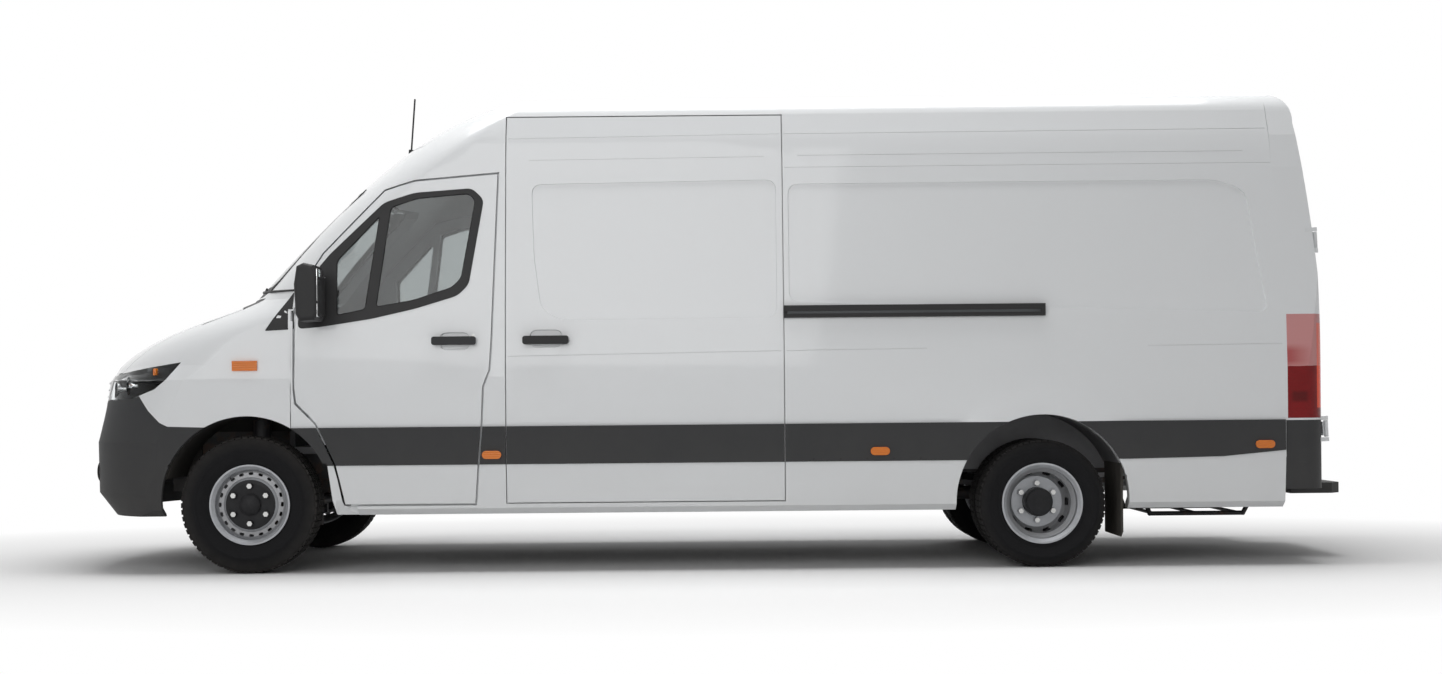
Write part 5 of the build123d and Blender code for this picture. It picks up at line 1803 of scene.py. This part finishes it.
@dataclass
class Roof:
    """Roof panel with its long pressed grooves."""

    grooves: int = 5
    outer_groove_y: float = 0.52
    groove_half_width: float = 0.022
    groove_span: tuple[int, int] = (2500, 5350)

    def build(self) -> None:
        """Cut the grooves in the roof."""
        panel = Pressing("roof", Body.SHELL)
        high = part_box("roof")[1].z
        start, end = self.groove_span
        for y in even(-self.outer_groove_y, self.outer_groove_y, self.grooves):
            drop = 0.004 + 0.063 * (y / 0.72) ** 2 * 0.75
            panel.groove((along(start), y - self.groove_half_width, high - drop - 0.004),
                         (along(end), y + self.groove_half_width, high + 0.02))
        panel.build()


@dataclass
class RearEnd:
    """Details on the rear doors and bumper."""

    seal_heights: tuple[float, float] = (0.62, 2.40)
    grips: int = 24
    grip_pitch: float = 0.04
    reflector_y: float = 0.80
    reflector_z: float = 0.505

    def door_panels(self) -> None:
        """Handle, plate panel and plate lamp on the rear doors."""
        surface = Surface(["rear_door_left", "rear_door_right"])
        handle, plate, lamp = bmesh.new(), bmesh.new(), bmesh.new()
        x = surface.from_rear(0.075, 1.150).x
        block(handle, (x - 0.006, 0.030, 1.120), (x + 0.020, 0.190, 1.155), 0.007, 3)
        add_piece("rear_handle", handle, Body.REAR_RIGHT, BLACK)
        x = surface.from_rear(-0.45, 0.90).x
        block(plate, (x - 0.004, -0.70, 0.835), (x + 0.004, -0.18, 0.945), 0.003, 2)
        add_piece("plate_panel", plate, Body.REAR_LEFT, CLADDING)
        block(lamp, (x - 0.004, -0.50, 0.965), (x + 0.014, -0.38, 0.985), 0.004, 2)
        add_piece("plate_lamp", lamp, Body.REAR_LEFT, BLACK)

    def door_seals(self) -> None:
        """Rubber seal where the two rear doors meet."""
        surface = Surface(["rear_door_left", "rear_door_right"])
        work = bmesh.new()
        path = [(surface.from_rear(0.03, z).x - 0.010, 0.0, z) for z in even(*self.seal_heights, 24)]
        tube(work, path, 0.0035, 8)
        add_piece("rear_seal", work, Body.REAR_RIGHT, SEAL)

    def step_treads(self) -> None:
        """Grip bars on the rear step."""
        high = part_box("rear_step")[1]
        unit = bmesh.new()
        block(unit, (-0.070, -0.006, -0.001), (0.070, 0.006, 0.0))
        mesh = REPEATS.line(unit, BLACK, self.grips, (high.x - 0.125, -0.46, high.z), (0, self.grip_pitch, 0))
        place_mesh("step_grips", mesh, Body.SHELL, BLACK)

    def reflectors(self) -> None:
        """Red reflectors at the bumper's corners."""
        surface = Surface(["rear_bumper"])
        work = bmesh.new()
        for y in (LEFT * self.reflector_y, RIGHT * self.reflector_y):
            x = surface.from_rear(y, self.reflector_z).x
            block(work, (x - 0.004, y - 0.045, 0.488), (x + 0.002, y + 0.045, 0.522), 0.002)
        add_piece("rear_reflectors", work, Body.SHELL, RED_LENS)

    def build(self) -> None:
        """Make everything at the rear."""
        self.door_panels()
        self.door_seals()
        self.step_treads()
        self.reflectors()


# Rays that see the floor and the world white
PALE_RAYS = ("Is Camera Ray", "Is Transmission Ray", "Is Glossy Ray")


@dataclass
class Studio:
    """Camera at the photograph's angle, pale floor and soft light."""

    distance: float = 10.71
    height: float = 0.925
    across: float = 0.026
    focal_pixels: float = 1790.0
    image_width: int = 1442
    horizon_drop: float = 63.0
    roll: float = 0.009

    def camera(self) -> None:
        """Camera in front of the van's left side."""
        data = bpy.data.cameras.new("camera")
        data.sensor_fit = "HORIZONTAL"
        data.sensor_width = 36.0
        data.lens = self.focal_pixels / self.image_width * data.sensor_width
        data.shift_y = self.horizon_drop / self.image_width
        data.clip_end = 200.0
        camera = link_object("camera", data)
        camera.matrix_world = (Matrix.Translation((self.across, -self.distance, self.height))
                               @ Matrix.Rotation(math.pi / 2, 4, "X") @ Matrix.Rotation(-self.roll, 4, "Z"))
        bpy.context.scene.camera = camera

    def floor(self) -> None:
        """Wide pale floor that goes white away from the van."""
        work = bmesh.new()
        bmesh.ops.create_grid(work, x_segments=2, y_segments=2, size=60.0)
        plane = link_object("floor_plane", into_mesh("floor_plane", work))
        tree = ShaderTree("studio_floor")
        far = ((((tree.x * tree.x) * 0.30) + (tree.y * tree.y)).root() - 1.9) / 1.8
        diffuse = tree.node("ShaderNodeBsdfDiffuse", {}, {"Color": (0.90, 0.90, 0.90, 1)})
        glow = tree.node("ShaderNodeEmission", {}, {"Color": (1, 1, 1, 1), "Strength": 1.0})
        ray = tree.node("ShaderNodeLightPath", {}, {})
        camera, through, glossy = (Sock(tree, ray.outputs[kind]) for kind in PALE_RAYS)
        seen = (camera + through) + glossy
        mix = tree.node("ShaderNodeMixShader", {}, {0: far.clamped() * seen.clamped(), 1: diffuse.outputs[0],
                                                    2: glow.outputs[0]})
        tree.node("ShaderNodeOutputMaterial", {}, {0: mix.outputs[0]})
        plane.data.materials.append(tree.material)

    def area(self, name: str, place: Point, aim: Point, size: tuple[float, float], power: float) -> None:
        """Soft rectangular lamp.

        Args:
            name: the lamp's name.
            place: where it hangs.
            aim: what it points at.
            size: width and height.
            power: watts.
        """
        data = bpy.data.lights.new(name, "AREA")
        data.shape = "RECTANGLE"
        data.size, data.size_y = size
        data.energy = power
        lamp = link_object(name, data)
        lamp.location = place
        lamp.rotation_euler = (Vector(aim) - Vector(place)).to_track_quat("-Z", "Y").to_euler()

    def light(self) -> None:
        """Soft overhead and side lamps, and a white world seen by camera and reflections."""
        self.area("overhead", (0.0, -0.4, 7.5), (0.0, 0.0, 0.0), (8.0, 4.0), 480.0)
        self.area("near_side", (-3.0, -9.5, 4.5), (0.0, 0.0, 1.2), (9.0, 5.0), 225.0)
        self.area("far_side", (3.0, 9.5, 4.5), (0.0, 0.0, 1.2), (9.0, 5.0), 170.0)
        world = bpy.data.worlds.new("studio")
        bpy.context.scene.world = world
        world.use_nodes = True
        tree = world.node_tree
        tree.nodes.clear()
        ray = add_node(tree, "ShaderNodeLightPath", {}, {})
        seen = ray.outputs[PALE_RAYS[0]]
        for kind in PALE_RAYS[1:]:
            both = {0: seen, 1: ray.outputs[kind]}
            seen = add_node(tree, "ShaderNodeMath", {"operation": "MAXIMUM"}, both).outputs[0]
        strength = add_node(tree, "ShaderNodeMath", {"operation": "MULTIPLY_ADD"},
                            {0: seen, 1: 0.78, 2: 0.22})
        background = add_node(tree, "ShaderNodeBackground", {}, {"Color": (1.0, 1.0, 1.0, 1.0),
                                                                 "Strength": strength.outputs[0]})
        add_node(tree, "ShaderNodeOutputWorld", {}, {0: background.outputs[0]})

    def build(self) -> None:
        """Make the camera, floor and light."""
        bpy.context.scene.view_settings.view_transform = "Standard"
        self.camera()
        self.floor()
        self.light()


def dress_nodes() -> None:
    """Give every CAD node its finish."""
    for name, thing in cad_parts.items():
        dress(thing, NODE_FINISHES.get(name, PAINT))


def wheels() -> None:
    """Dress all wheels and tyres."""
    front, rear = (FRONT_AXLE_X, FRONT_HUB_Z), (REAR_AXLE_X, REAR_HUB_Z)
    for word, side, front_body, rear_body in (("left", LEFT, Body.WHEEL_FL, Body.WHEEL_RL),
                                              ("right", RIGHT, Body.WHEEL_FR, Body.WHEEL_RR)):
        Tyre(f"front_tyre_{word}", front_body, (0.852,), front, FRONT_HUB_Z, 0.230, side).build()
        Tyre(f"rear_tyres_{word}", rear_body, (0.885, 0.650), rear, REAR_HUB_Z, 0.200, side).build()
        WheelDress(front_body, f"front_wheel_{word}", front, 0.938, side, True).build()
        WheelDress(rear_body, f"rear_wheel_{word}", rear, 0.806, side, False).build()


def main() -> None:
    """Build the van's looks around its frame."""
    logging.basicConfig(level=logging.INFO, format="%(name)s: %(message)s")
    dress_nodes()
    wheels()
    for side in (LEFT, RIGHT):
        BodySide(side).build()
    Screen().build()
    Front().build()
    Cab().build()
    LoadSpace().build()
    Roof().build()
    RearEnd().build()
    Studio().build()


if __name__ == "__main__":
    main()
